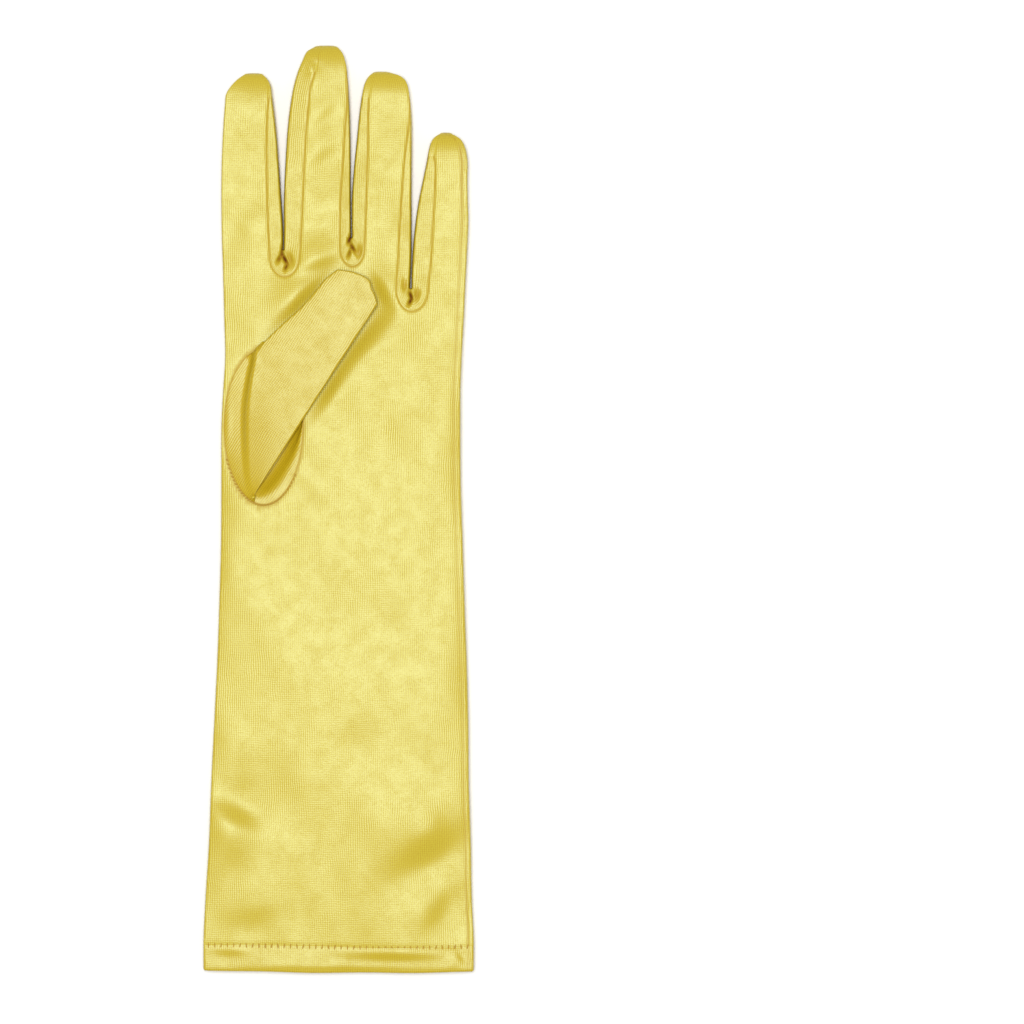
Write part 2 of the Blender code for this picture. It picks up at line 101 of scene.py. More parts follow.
scene = bpy.context.scene
scene.view_settings.view_transform = "Standard"

lens = bpy.data.cameras.new("camera")
lens.lens = lens.sensor_width * CAMERA_HEIGHT / (PHOTO_PIXELS * PHOTO_MM * MM)
camera = bpy.data.objects.new("camera", lens)
camera.location = ((PHOTO_PIXELS / 2 - PHOTO_MIDDLE[0]) * PHOTO_MM * MM,
                   (PHOTO_MIDDLE[1] - PHOTO_PIXELS / 2) * PHOTO_MM * MM, CAMERA_HEIGHT)
scene.collection.objects.link(camera)
scene.camera = camera

bulb = bpy.data.lights.new("lamp", "AREA")
bulb.shape = "DISK"
bulb.size = LAMP_SIZE
bulb.energy = LAMP_POWER
lamp = bpy.data.objects.new("lamp", bulb)
lamp.location = (camera.location.x - LAMP_ASIDE, camera.location.y + LAMP_ASIDE, LAMP_HEIGHT)
scene.collection.objects.link(lamp)

scene.world = bpy.data.worlds.new("room")
scene.world.use_nodes = True
room = scene.world.node_tree.nodes["Background"]
room.inputs["Color"].default_value = (1.0, 1.0, 1.0, 1.0)
room.inputs["Strength"].default_value = ROOM_LIGHT

side = FLOOR_SIZE / 2
floor_mesh = bpy.data.meshes.new("floor")
floor_mesh.from_pydata([(-side, -side, 0), (side, -side, 0), (side, side, 0), (-side, side, 0)],
                       [], [(0, 1, 2, 3)])
floor_mesh.materials.append(paper())
floor = bpy.data.objects.new("floor", floor_mesh)
scene.collection.objects.link(floor)

# Trank: the main cut of knitted stretch satin, palm and back in one. It is folded along the index
# side, sewn along the little-finger side and round the fingertips, and lies soft and nearly flat,
# with low dents. It is left open between the fingers and where the thumb is sewn in.
CLOTH = 0.6
MERGE = 0.02
SHARP = math.radians(50)

# Heights over the floor, how full the palm is and how late its crown falls to the sides
SIDE_HEIGHT = 8.3
PALM_HEIGHT = 9.3
FULLNESS = 1.4
CROWN_POWER = 8
# The side's rounding, and the least share of its reach that stays level, so no face is folded flat
EDGE_ROUND = 0.55
LEAST_LEVEL = 0.03
# The back lifts off the floor within this reach of each side, and is hollow in a few places
BACK_LIFT = 2.4
BACK_REACH = 6.0
HOLLOW_HEIGHT = 0.35
HOLLOW_START = 0.1
HOLLOW_ACROSS = 9.0
HOLLOW_ALONG = 23.0
# Seams: how deep and wide the cloth sinks along them, and how strongly painted shade draws them in
# deeper gold
SIDE_SEAM = 2.2
SEAM_SINK = 0.16
SEAM_HALF = 0.27
SEAM_PAINTED_SHADE = 0.42
CREASE_SINK = 2.2
CREASE_DEPTH = 1.0
# The stitches of the hem pull the cloth down in a shallow groove, on a line that sags
HEM_SINK = 0.14
HEM_SINK_HALF = 0.8
HEM_RISE = 0.5
HEM_SAG = 1.1
HEM_SAG_MIDDLE = 20.0
HEM_SAG_HALF = 30.0
# A fold's bell reaches this share of its length and of its width past the line, and a slant's
# level comes back this many half widths away
BELL_LENGTH = 0.45
BELL_WIDTH = 0.6
SLANT_TAIL = 4.5
# Near a fingertip the cloth falls away
TIP_SLOPE = 10.0
TIP_DROP = 2.6
TIP_FALL_POWER = 1.6
TIP_FULLNESS = 0.8
TIP_MARGIN = 1.0
OVAL_MIDDLE = (-27.65, 30.3)
OVAL_HALF = (14.55, 28.6)
HEM_TOP = -161.3
SLEEVE_ROWS = 136
FINGER_ROWS = 60
FINGER_COLUMNS = 16
FORK_COLUMNS = 12
SIDE_FLAT = 6
SIDE_ARC = 6
SIDE_COLUMNS = 2 * (SIDE_FLAT + SIDE_ARC)
TIP_ROWS = 12
# Length over which the sleeve's side becomes the finger's, how far the sleeve's rows are drawn to
# its two ends, and a distance that stands for no seam
FINGER_JOIN = 8.0
ROW_DRAW_POWER = 9
ROW_DRAW = 0.09
FAR = 99.0

Side = namedtuple("Side", "y left right")
SLEEVE = (
    Side(-171.2, -50.0, 49.9), Side(-159.5, -50.0, 49.9), Side(-144.7, -49.3, 49.2),
    Side(-122.5, -47.9, 48.8), Side(-100.3, -47.1, 48.1), Side(-78.1, -46.0, 47.9),
    Side(-55.9, -44.9, 47.3), Side(-33.7, -44.1, 46.5), Side(-11.5, -43.5, 45.8),
    Side(10.7, -43.4, 45.1), Side(32.9, -43.3, 45.0), Side(44.0, -42.7, 45.0),
    Side(55.1, -42.0, 45.4), Side(69.9, -42.3, 46.2), Side(84.7, -42.7, 46.9),
    Side(95.8, -43.0, 47.5), Side(106.9, -43.3, 47.9),
)
FingerRow = namedtuple("FingerRow", "y left right left_seam right_seam")
INDEX = (
    FingerRow(88.0, -42.8, -20.7, -42.8, -25.2), FingerRow(104.0, -43.3, -20.6, -43.3, -25.9),
    FingerRow(114.3, -43.4, -21.2, -43.4, -26.4), FingerRow(125.4, -43.3, -21.9, -43.3, -26.5),
    FingerRow(140.2, -42.7, -23.0, -42.7, -26.5), FingerRow(149.8, -42.0, -24.1, -42.0, -25.9),
    FingerRow(152.8, -41.7, -24.5, -41.7, -25.6), FingerRow(155.8, -40.0, -24.9, -40.0, -25.4),
    FingerRow(157.3, -38.7, -25.4, -38.7, -25.6), FingerRow(158.7, -37.2, -26.3, -37.2, -26.4),
    FingerRow(160.2, -35.1, -27.8, -35.1, -27.9),
)
MIDDLE = (
    FingerRow(88.0, -20.5, 4.5, -14.9, 1.0), FingerRow(100.3, -20.3, 4.5, -13.9, 0.4),
    FingerRow(114.3, -20.3, 4.4, -13.2, 0.7), FingerRow(129.1, -19.7, 4.4, -12.6, 1.6),
    FingerRow(140.2, -19.0, 4.3, -11.9, 2.3), FingerRow(149.8, -17.9, 4.0, -11.0, 3.1),
    FingerRow(155.8, -16.8, 3.6, -10.3, 3.3), FingerRow(160.2, -15.6, 3.2, -8.9, 3.0),
    FingerRow(163.2, -14.5, 2.9, -8.0, 2.8), FingerRow(166.1, -13.2, 2.2, -8.0, 2.1),
    FingerRow(167.6, -12.6, 1.7, -8.0, 1.6), FingerRow(169.1, -11.5, 0.8, -7.0, 0.7),
    FingerRow(170.4, -9.2, -0.4, -6.0, -0.5),
)
RING = (
    FingerRow(81.0, 4.8, 26.3, 9.3, 21.2), FingerRow(94.0, 4.8, 26.8, 9.4, 22.0),
    FingerRow(103.2, 4.8, 26.9, 9.9, 22.5), FingerRow(114.3, 4.8, 26.9, 10.2, 23.2),
    FingerRow(125.4, 5.5, 27.0, 10.5, 24.0), FingerRow(136.5, 6.6, 27.1, 10.8, 25.2),
    FingerRow(143.9, 7.3, 27.0, 10.9, 26.1), FingerRow(149.8, 8.0, 26.5, 11.0, 26.2),
    FingerRow(154.3, 8.8, 25.9, 11.2, 25.7), FingerRow(157.3, 9.6, 25.1, 11.5, 25.0),
    FingerRow(158.7, 10.3, 24.2, 11.8, 24.1), FingerRow(160.2, 11.5, 21.8, 12.6, 21.7),
    FingerRow(161.1, 12.8, 18.6, 13.6, 18.5),
)
LITTLE = (
    FingerRow(78.4, 26.8, 46.6, 32.9, 46.6), FingerRow(84.4, 26.8, 46.9, 33.4, 46.9),
    FingerRow(94.0, 27.2, 47.4, 34.2, 47.4), FingerRow(106.9, 28.4, 47.9, 34.9, 47.9),
    FingerRow(114.3, 29.5, 47.7, 35.3, 47.7), FingerRow(121.7, 31.0, 47.6, 35.6, 47.6),
    FingerRow(129.1, 32.5, 47.6, 35.4, 47.6), FingerRow(132.8, 33.2, 46.9, 34.5, 46.9),
    FingerRow(135.4, 34.0, 45.8, 34.6, 45.8), FingerRow(136.5, 34.6, 45.0, 35.0, 45.0),
    FingerRow(137.6, 35.8, 43.4, 36.0, 43.4), FingerRow(138.4, 37.2, 41.8, 37.3, 41.8),
)
Finger = namedtuple("Finger", "name rows seam_end tip")
FINGERS = (
    Finger("index", INDEX, 151.5, 160.9), Finger("middle", MIDDLE, 161.0, 171.1),
    Finger("ring", RING, 151.5, 161.5), Finger("little", LITTLE, 130.0, 139.0),
)
# Forks: x and y of the seam's round bottom, y of its two upper ends, y of the slit's lower end
Fork = namedtuple("Fork", "low top web")
FORKS = (Fork(85.6, 92.9, 95.8), Fork(89.3, 95.8, 100.3), Fork(72.7, 81.0, 81.5))

# Slants of the palm side, where it drops a little from the left of a line to its right: the two
# ends of each line, half width and half the drop. Where the cloth slants it loses its pale gloss.
Fold = namedtuple("Fold", "x y to_x to_y wide rise")
SLANTS = (
    Fold(23.0, -131.5, 43.5, -119.5, 5.0, 1.9), Fold(35.0, -125.0, 38.5, -111.0, 5.0, 0.7),
    Fold(10.0, -139.0, 26.0, -131.0, 6.0, 0.3), Fold(-47.0, -108.0, -29.0, -117.5, 4.0, -1.6),
    Fold(-40.0, -151.0, -26.0, -149.5, 4.5, 0.7),
    Fold(42.0, -139.0, 31.0, -155.5, 4.0, -1.0), Fold(-42.0, -138.0, -41.0, -126.0, 3.5, 0.3),
    Fold(0.0, -80.0, 14.0, -85.0, 6.0, 0.5), Fold(-12.5, 12.0, -5.0, -1.0, 4.5, -0.7),
    Fold(18.0, 20.0, 19.5, 38.0, 5.0, -0.6), Fold(26.0, 36.0, 30.0, 20.0, 6.0, 0.4),
    Fold(-13.5, 87.4, -1.5, 92.8, 2.4, 1.0), Fold(-38.0, 147.0, -31.0, 141.0, 3.2, 0.5),
    Fold(-37.0, 106.0, -33.0, 100.0, 3.5, 0.4), Fold(-10.0, 152.5, -4.8, 157.8, 2.0, 0.35),
    Fold(-9.5, 140.6, -0.6, 150.2, 2.4, 0.5), Fold(-10.8, 125.8, -0.1, 135.4, 2.6, 0.55),
    Fold(-10.1, 104.7, -1.9, 109.9, 2.6, 0.4), Fold(14.0, 150.0, 25.0, 149.5, 3.0, 0.4),
    Fold(13.0, 134.0, 13.6, 126.0, 3.0, 0.3), Fold(13.0, 100.0, 16.0, 93.0, 3.5, 0.3),
    Fold(33.0, 92.0, 37.0, 86.0, 3.5, 0.4), Fold(-23.0, 68.0, -4.0, 87.4, 2.0, 1.2),
    Fold(13.4, 86.0, 19.0, 74.0, 2.2, 1.1), Fold(18.5, 71.5, 4.0, 54.5, 2.7, 1.2),
    Fold(5.0, 55.5, -9.5, 33.5, 2.1, 1.1), Fold(-16.0, 96.0, -20.0, 80.0, 5.0, 0.3),
    Fold(-38.0, 70.0, -33.0, 62.0, 5.0, 0.3), Fold(30.0, -30.0, 36.0, -48.0, 9.0, 0.4),
    Fold(-30.0, -60.0, -18.0, -78.0, 8.0, 0.4), Fold(-20.0, -15.0, -30.0, -40.0, 9.0, -0.4),
    Fold(8.0, -105.0, 22.0, -98.0, 8.0, 0.4), Fold(38.0, 60.0, 33.0, 48.0, 6.0, 0.3),
    Fold(24.0, 64.0, 34.0, 68.0, 5.0, 0.3), Fold(-13.0, 165.6, -9.8, 160.8, 0.8, 0.5),
    Fold(-11.0, 167.0, -7.4, 164.4, 0.7, 0.3), Fold(-10.2, 165.0, -8.6, 161.0, 0.6, -0.3),
)

# Creases, sunk and painted red-gold as painted shade: line, half width and how deep both are.
# Two branch down from each slit, with wider, fainter painted shade beside them.
SHADED_CREASES = (
    Fold(-20.8, 97.0, -21.0, 93.6, 0.4, 0.7), Fold(-21.3, 93.4, -22.5, 91.2, 0.55, 0.75),
    Fold(-20.8, 93.8, -18.9, 90.4, 0.55, 1.1), Fold(-19.0, 90.0, -19.9, 88.2, 0.45, 0.9),
    Fold(4.6, 101.0, 3.6, 98.4, 0.5, 1.1), Fold(4.0, 98.2, 6.2, 94.6, 0.5, 0.9),
    Fold(4.6, 95.8, 3.4, 92.8, 0.4, 0.65), Fold(26.6, 84.0, 26.3, 81.6, 0.4, 0.8),
    Fold(26.2, 80.0, 26.9, 77.6, 0.5, 1.0), Fold(26.9, 77.6, 25.9, 75.4, 0.5, 1.0),
    Fold(-18.4, 94.0, -17.4, 90.4, 0.8, 0.4), Fold(8.0, 96.6, 7.4, 93.2, 0.8, 0.4),
    Fold(29.2, 80.6, 28.6, 77.4, 0.8, 0.4), Fold(24.2, 83.8, 24.4, 81.0, 0.7, 0.35),
)

# Soft unevenness of lying cloth: height of each wave, its lengths along x and y, and its start
Wave = namedtuple("Wave", "height x_length y_length start")
UNEVENNESS = (
    Wave(0.16, 7.3, 19.0, 0.7), Wave(0.13, 4.9, -13.1, 2.1), Wave(0.10, 11.0, 6.7, 4.0),
    Wave(0.05, 2.9, 5.3, 0.0),
)


def table_curve(at, rows, column):
    """A table's column at heights y, on the cubic curve through its rows with averaged slopes."""
    ys = np.array([row.y for row in rows])
    values = np.array([getattr(row, column) for row in rows])
    slopes = np.gradient(values, ys)
    low = np.clip(np.searchsorted(ys, at, side="right") - 1, 0, len(ys) - 2)
    span = ys[low + 1] - ys[low]
    t = np.clip((at - ys[low]) / span, 0.0, 1.0)
    ease = t * t * (3.0 - 2.0 * t)
    bend = span * t * (1.0 - t) * ((1.0 - t) * slopes[low] - t * slopes[low + 1])
    return values[low] * (1.0 - ease) + values[low + 1] * ease + bend


def hem_line(x):
    """y of the stitch line where the hem starts: it sags a little to the middle of the cuff."""
    return HEM_TOP + HEM_RISE - HEM_SAG * np.exp(-((x - HEM_SAG_MIDDLE) / HEM_SAG_HALF) ** 2)


def finger_edge(number, y, column):
    """x of a finger's side or seam at y. Past the last row the two sides close as an ellipse."""
    finger = FINGERS[number]
    last = finger.rows[-1]
    x = table_curve(np.minimum(y, last.y), finger.rows, column)
    share = np.clip((y - last.y) / (finger.tip - last.y), 0.0, 1.0)
    middle = (last.left + last.right) / 2
    return middle + (x - middle) * np.sqrt(1.0 - share**2)


def is_outer(number, side):
    """True for the two finger sides that the main cut makes itself: index left, little right."""
    return (number, side) in ((0, "left"), (len(FINGERS) - 1, "right"))


def finger_seam(number, y, side):
    """x of a finger's palm seam, or on an outer side of the line where its rounding starts."""
    if is_outer(number, side):
        inward = EDGE_ROUND if side == "left" else -EDGE_ROUND
        return finger_edge(number, y, side) + inward
    return finger_edge(number, y, side + "_seam")


def glove_side(y, side):
    """x of the glove's left or right side at y: the sleeve's table, and above it the finger's."""
    number = 0 if side == "left" else len(FINGERS) - 1
    join = np.clip((y - FINGERS[number].rows[0].y) / FINGER_JOIN, 0.0, 1.0)
    sleeve = table_curve(np.minimum(y, SLEEVE[-1].y), SLEEVE, side)
    return sleeve * (1.0 - join) + finger_edge(number, y, side) * join


def fork_middle(number):
    """Middle and half width of the seam's round bottom at a fork."""
    top = np.array(FORKS[number].top)
    left = float(finger_edge(number, top, "right_seam"))
    right = float(finger_edge(number + 1, top, "left_seam"))
    return (left + right) / 2, (right - left) / 2


def ellipse_distance(x, y, middle, half):
    """Plan distance to an ellipse, near it: its ratio less one, over the ratio's steepness."""
    across, up = x - middle[0], y - middle[1]
    ratio = np.hypot(across / half[0], up / half[1])
    steep = np.hypot(across / half[0] ** 2, up / half[1] ** 2) / np.maximum(ratio, 0.1)
    return np.abs(ratio - 1.0) / np.maximum(steep, 0.01)


def seam_distance(x, y):
    """Plan distance to the nearest seam: the fingers' straight ones and their round bottoms, the
    thumb hole's edge and the side seam."""
    nearest = ellipse_distance(x, y, OVAL_MIDDLE, OVAL_HALF)
    nearest = np.minimum(nearest, np.abs(x - glove_side(y, "right") + SIDE_SEAM))
    for number, fork in enumerate(FORKS):
        middle, half = fork_middle(number)
        around = ellipse_distance(x, y, (middle, fork.top), (half, fork.top - fork.low))
        left = np.abs(x - finger_edge(number, y, "right_seam"))
        right = np.abs(x - finger_edge(number + 1, y, "left_seam"))
        left = np.where(y > FINGERS[number].seam_end, FAR, left)
        right = np.where(y > FINGERS[number + 1].seam_end, FAR, right)
        nearest = np.minimum(nearest, np.where(y < fork.top, around, np.minimum(left, right)))
    return nearest


def bell_place(x, y, fold):
    """Distances along and beside a fold's line as shares of its reach, which passes its ends."""
    run = np.array((fold.to_x - fold.x, fold.to_y - fold.y))
    length = np.hypot(*run)
    along = ((x - fold.x) * run[0] + (y - fold.y) * run[1]) / length - length / 2
    beside = ((y - fold.y) * run[0] - (x - fold.x) * run[1]) / length
    return along / (BELL_LENGTH * length + BELL_WIDTH * fold.wide), beside / fold.wide


def relief(x, y, folds):
    """Sum of the folds' rises, each a long bell curve round its line: a height in mm for the thumb's
    ridges, and a share of their depth and of their painted shade for the creases."""
    rise = np.zeros(np.broadcast(x, y).shape)
    for fold in folds:
        along, beside = bell_place(x, y, fold)
        rise = rise + fold.rise * np.exp(-(along**2 + beside**2))
    return rise


def slants(x, y, folds):
    """Height added by the slants: each a tanh step across its line, under a long bell curve that
    brings both sides back to level slowly."""
    rise = np.zeros(np.broadcast(x, y).shape)
    for fold in folds:
        along, beside = bell_place(x, y, fold)
        rise = rise + fold.rise * np.tanh(beside) * np.exp(-(along**2 + (beside / SLANT_TAIL) ** 2))
    return rise


def undulation(x, y):
    """Height added by the unevenness: a sum of crossed sine waves, a few tenths high in all."""
    return sum(wave.height * np.sin(x / wave.x_length + y / wave.y_length + wave.start)
               for wave in UNEVENNESS)


def oval_ratio(x, y):
    """1 on the thumb hole's edge, an ellipse, and less inside it."""
    return np.hypot((x - OVAL_MIDDLE[0]) / OVAL_HALF[0], (y - OVAL_MIDDLE[1]) / OVAL_HALF[1])


def tip_fall(x, y):
    """How far the palm side has sunk near a fingertip: a power of the share of the slope passed."""
    fall = np.zeros(np.broadcast(x, y).shape)
    for number, finger in enumerate(FINGERS):
        past_left = x > finger_edge(number, y, "left") - TIP_MARGIN
        on_it = past_left & (x < finger_edge(number, y, "right") + TIP_MARGIN)
        share = np.clip((y - finger.tip + TIP_SLOPE) / TIP_SLOPE, 0.0, 1.0)
        fall = np.where(on_it, TIP_DROP * share**TIP_FALL_POWER, fall)
    return fall


def palm_height(x, y):
    """Height of the palm side: crowned across the sleeve, with slants, waves and sunk seams."""
    left = glove_side(y, "left")
    right = glove_side(y, "right")
    across = np.clip((2.0 * x - left - right) / (right - left), -1.0, 1.0)
    up = np.clip((y - HEM_TOP) / (FORKS[0].low - HEM_TOP), 0.0, 1.0)
    fullness = np.clip(np.sin(math.pi * up) * FULLNESS, 0.0, 1.0)
    height = SIDE_HEIGHT + (PALM_HEIGHT - SIDE_HEIGHT) * fullness * (1.0 - across**CROWN_POWER)
    height = height + slants(x, y, SLANTS) + undulation(x, y) - tip_fall(x, y)
    height = height - CREASE_SINK * np.clip(relief(x, y, SHADED_CREASES), 0.0, 1.0)
    height = height - HEM_SINK * np.exp(-((y - hem_line(x)) / HEM_SINK_HALF) ** 2)
    return height - SEAM_SINK * np.exp(-(seam_distance(x, y) / SEAM_HALF) ** 2)


def back_height(x, y):
    """Height of the back side over the floor: it rests flat but for a few shallow hollows, and
    rises as a square towards the glove's two sides."""
    beside = np.minimum(x - glove_side(y, "left"), glove_side(y, "right") - x)
    lifted = BACK_LIFT * np.clip(1.0 - beside / BACK_REACH, 0.0, 1.0) ** 2
    hollows = HOLLOW_HEIGHT * np.sin(x / HOLLOW_ACROSS + y / HOLLOW_ALONG) - HOLLOW_START
    return lifted + np.clip(hollows, 0.0, None)


def side_wrap(seam_x, seam_y, out_x, out_y, rounding, flat_steps, arc_steps):
    """Rows of points from a palm seam round a side to the back seam: level out from the seam, then
    a half ellipse whose widest point is the glove's outline, and level again underneath."""
    reach = np.hypot(out_x - seam_x, out_y - seam_y)[:, None]
    level = np.clip(1.0 - rounding / np.maximum(reach, 0.01), LEAST_LEVEL, 1.0)
    angles = np.linspace(0.0, math.pi / 2, arc_steps + 1)[1:]
    steps = np.arange(flat_steps + 1) / flat_steps
    outward = np.concatenate((level * steps, level + (1.0 - level) * np.sin(angles)), axis=1)
    rise = np.concatenate((np.ones(flat_steps + 1), (1.0 + np.cos(angles)) / 2))
    outward = np.concatenate((outward, outward[:, -2::-1]), axis=1)
    rise = np.concatenate((rise, 1.0 - rise[-2::-1]))
    x = seam_x[:, None] + outward * (out_x - seam_x)[:, None]
    y = seam_y[:, None] + outward * (out_y - seam_y)[:, None]
    low = back_height(x, y)
    return np.stack((x, y, low + (palm_height(x, y) - low) * rise), axis=-1)


def along_rows(points):
    """Distance along each row of points from its first one."""
    steps = np.linalg.norm(np.diff(points, axis=1), axis=-1)
    return np.concatenate((np.zeros((len(points), 1)), np.cumsum(steps, axis=1)), axis=1)


def closed_rings(x, y, left_out, right_out):
    """Rings round the glove, one for each row of x and y: across the front at the palm's height,
    round the right side, across the back and round the left side, the first point repeated. The
    second array holds each point's place on the cloth: across the ribs, and along them."""
    front = np.stack((x, y, palm_height(x, y)), axis=-1)
    back = np.stack((x, y, back_height(x, y)), axis=-1)[:, ::-1]
    wrap = (EDGE_ROUND, SIDE_FLAT, SIDE_ARC)
    right = side_wrap(x[:, -1], y[:, -1], right_out, y[:, -1], *wrap)[:, 1:-1]
    left = side_wrap(x[:, 0], y[:, 0], left_out, y[:, 0], *wrap)[:, -2::-1]
    rings = np.concatenate((front, right, back, left), axis=1)
    across = along_rows(rings)
    columns = x.shape[1]
    across[:, columns:] += x[:, -1:] - across[:, columns - 1:columns]
    across[:, :columns] = x
    return rings, np.stack((across, rings[..., 1]), axis=-1)


def finger_points(number, share):
    """Rows of points across a finger's front, from its forks (share 0) to its seams' end (1)."""
    finger = FINGERS[number]
    across = (1.0 - np.cos(np.linspace(0.0, math.pi, FINGER_COLUMNS + 1))) / 2
    left_base = FORKS[max(number - 1, 0)].top
    right_base = FORKS[min(number, len(FORKS) - 1)].top
    base = left_base + (right_base - left_base) * across
    y = base + (finger.seam_end - base) * np.asarray(share)[:, None]
    left = finger_seam(number, y, "left")
    right = finger_seam(number, y, "right")
    return left + (right - left) * across, y


def fork_points(number):
    """Points round the seam's bottom at a fork, a half ellipse from left to right."""
    middle, half = fork_middle(number)
    fork = FORKS[number]
    angles = np.linspace(math.pi, 0.0, FORK_COLUMNS + 1)
    return middle + half * np.cos(angles), fork.top - (fork.top - fork.low) * np.sin(angles)


def sleeve_points():
    """Rows of points across the sleeve, evenly spaced at the hem and on the forks' line above. A
    high power at each end spaces the rows wider in the middle and closer at hem and forks."""
    xs, ys = (part[0] for part in finger_points(0, [0.0]))
    for number in range(len(FORKS)):
        arc_x, arc_y = fork_points(number)
        row_x, row_y = (part[0] for part in finger_points(number + 1, [0.0]))
        xs = np.concatenate((xs, arc_x[1:], row_x[1:]))
        ys = np.concatenate((ys, arc_y[1:], row_y[1:]))
    left = glove_side(ys, "left") + EDGE_ROUND
    right = glove_side(ys, "right") - EDGE_ROUND
    top = (xs - left) / (right - left)
    even = np.linspace(0.0, 1.0, SLEEVE_ROWS + 1)[:, None]
    drawn = even**ROW_DRAW_POWER + 1.0 - (1.0 - even) ** ROW_DRAW_POWER
    share = (1.0 + 2.0 * ROW_DRAW) * even - ROW_DRAW * drawn
    even = np.linspace(0.0, 1.0, len(xs))
    even = (even + (1.0 - np.cos(math.pi * even)) / 2) / 2
    across = even * (1.0 - share) + top * share
    start = hem_line(SLEEVE[0].left + (SLEEVE[0].right - SLEEVE[0].left) * even)
    y = start + (ys - start) * share
    left = glove_side(y, "left") + EDGE_ROUND
    right = glove_side(y, "right") - EDGE_ROUND
    return left + (right - left) * across, y


def tip_rings(number, last):
    """Rings that close a fingertip: the last ring squeezed into the outline, its height falling
    as a quarter circle from the seams' end to the tip."""
    finger = FINGERS[number]
    turn = np.linspace(0.0, 1.0, TIP_ROWS + 1)[:, None]
    y = finger.seam_end + (finger.tip - finger.seam_end) * np.sin(turn * math.pi / 2)
    left = finger_edge(number, y, "left")
    right = finger_edge(number, y, "right")
    low, high = last[:, 0].min(), last[:, 0].max()
    x = left + (right - left) * (last[:, 0] - low) / (high - low)
    size = np.cos(turn * math.pi / 2) ** TIP_FULLNESS
    change = slants(x, y, SLANTS) - slants(last[:, 0], last[:, 1], SLANTS)
    change = change * (last[:, 2] > SIDE_HEIGHT / 2)
    z = SIDE_HEIGHT / 2 + (last[:, 2] + change - SIDE_HEIGHT / 2) * size
    return np.stack((x, np.broadcast_to(y, x.shape), z), axis=-1)


def grid_quads(points, first=0):
    """Four-sided faces between neighbouring rows and columns of points numbered row by row."""
    rows, columns = points.shape[:2]
    low = first + np.arange(rows - 1)[:, None] * columns + np.arange(columns - 1)
    return np.stack((low, low + 1, low + columns + 1, low + columns), axis=-1)


def cloth_object(name, blocks, wall, material):
    """An object from blocks of points, cloth places (both in mm) and faces to keep. Points that
    meet are merged, and Solidify gives the wall inwards."""
    points = np.concatenate([block[0].reshape(-1, 3) for block in blocks])
    places = np.concatenate([block[1].reshape(-1, 2) for block in blocks])
    starts = np.cumsum([0] + [block[0].shape[0] * block[0].shape[1] for block in blocks])
    quads = [grid_quads(block[0], first)[block[2]].reshape(-1, 4)
             for block, first in zip(blocks, starts)]
    mesh = bpy.data.meshes.new(name)
    mesh.from_pydata(points * MM, [], np.concatenate(quads))
    mesh.materials.append(material)
    loops = np.empty(len(mesh.loops), dtype=np.int32)
    mesh.loops.foreach_get("vertex_index", loops)
    mesh.uv_layers.new(name="cloth").uv.foreach_set("vector", places[loops].ravel())
    x, y = points[:, 0], points[:, 1]
    # Painted shade: the crease attribute darkens the colour in the creases and along the seams, on
    # points near the palm's height.
    shade = relief(x, y, SHADED_CREASES) + SEAM_PAINTED_SHADE * np.exp(-(seam_distance(x, y) / SEAM_HALF) ** 2)
    shade = np.clip(shade, 0.0, 1.0) * (np.abs(points[:, 2] - palm_height(x, y)) < CREASE_DEPTH)
    mesh.attributes.new("crease", "FLOAT", "POINT").data.foreach_set("value", shade)
    merged = bmesh.new()
    merged.from_mesh(mesh)
    bmesh.ops.remove_doubles(merged, verts=merged.verts, dist=MERGE * MM)
    bmesh.ops.dissolve_degenerate(merged, edges=merged.edges, dist=MERGE * MM / 10)
    loose = [vertex for vertex in merged.verts if not vertex.link_faces]
    bmesh.ops.delete(merged, geom=loose, context="VERTS")
    merged.to_mesh(mesh)
    merged.free()
    piece = bpy.data.objects.new(name, mesh)
    scene.collection.objects.link(piece)
    if wall:
        cloth = piece.modifiers.new("cloth", "SOLIDIFY")
        cloth.thickness = wall * MM
        cloth.offset = -1.0
        shown = piece.evaluated_get(bpy.context.evaluated_depsgraph_get())
        piece.data = bpy.data.meshes.new_from_object(shown)
        piece.modifiers.clear()
        bpy.data.meshes.remove(mesh)
    piece.data.shade_smooth()
    piece.data.set_sharp_from_angle(angle=SHARP)
    return piece


# The knit's two sine waves: axis across or along the cloth, spacing in mm, how far soft noise
# pushes the wave about, and how fine that noise is. The ribs fade in patches, and the grooves are
# painted a deeper gold, painted shade between the ribs. Creases and seams get painted shade too,
# deeper gold, red-gold where it is deepest, and they are matt.
KnitWave = namedtuple("KnitWave", "axis spacing wander fineness")
RIBS = KnitWave(0, 0.8, 1.6, 0.11)
COURSES = KnitWave(1, 0.66, 1.2, 0.17)
COURSE_SHARE = 0.35
YARN_FINENESS = 1.7
YARN_SHARE = 2.4
PATCH_FINENESS = 0.16
PATCH_LOW = 0.35
PATCH_HIGH = 0.65
RIB_LEAST = 0.4
RIB_DEPTH = 0.000017
GROOVE_SHARE = 0.32
GROOVE_CONTRAST = 0.3
FOLD_SHADE_COLOUR = "#A87400"
CREASE_SHADE_COLOUR = "#6E2600"
CREASE_POWER = 3.5
SATIN_ROUGHNESS = 0.36
SATIN_IOR = 1.54
CREASE_ROUGHNESS = 0.5
GLOSS_TINT = "#E3FFDD"


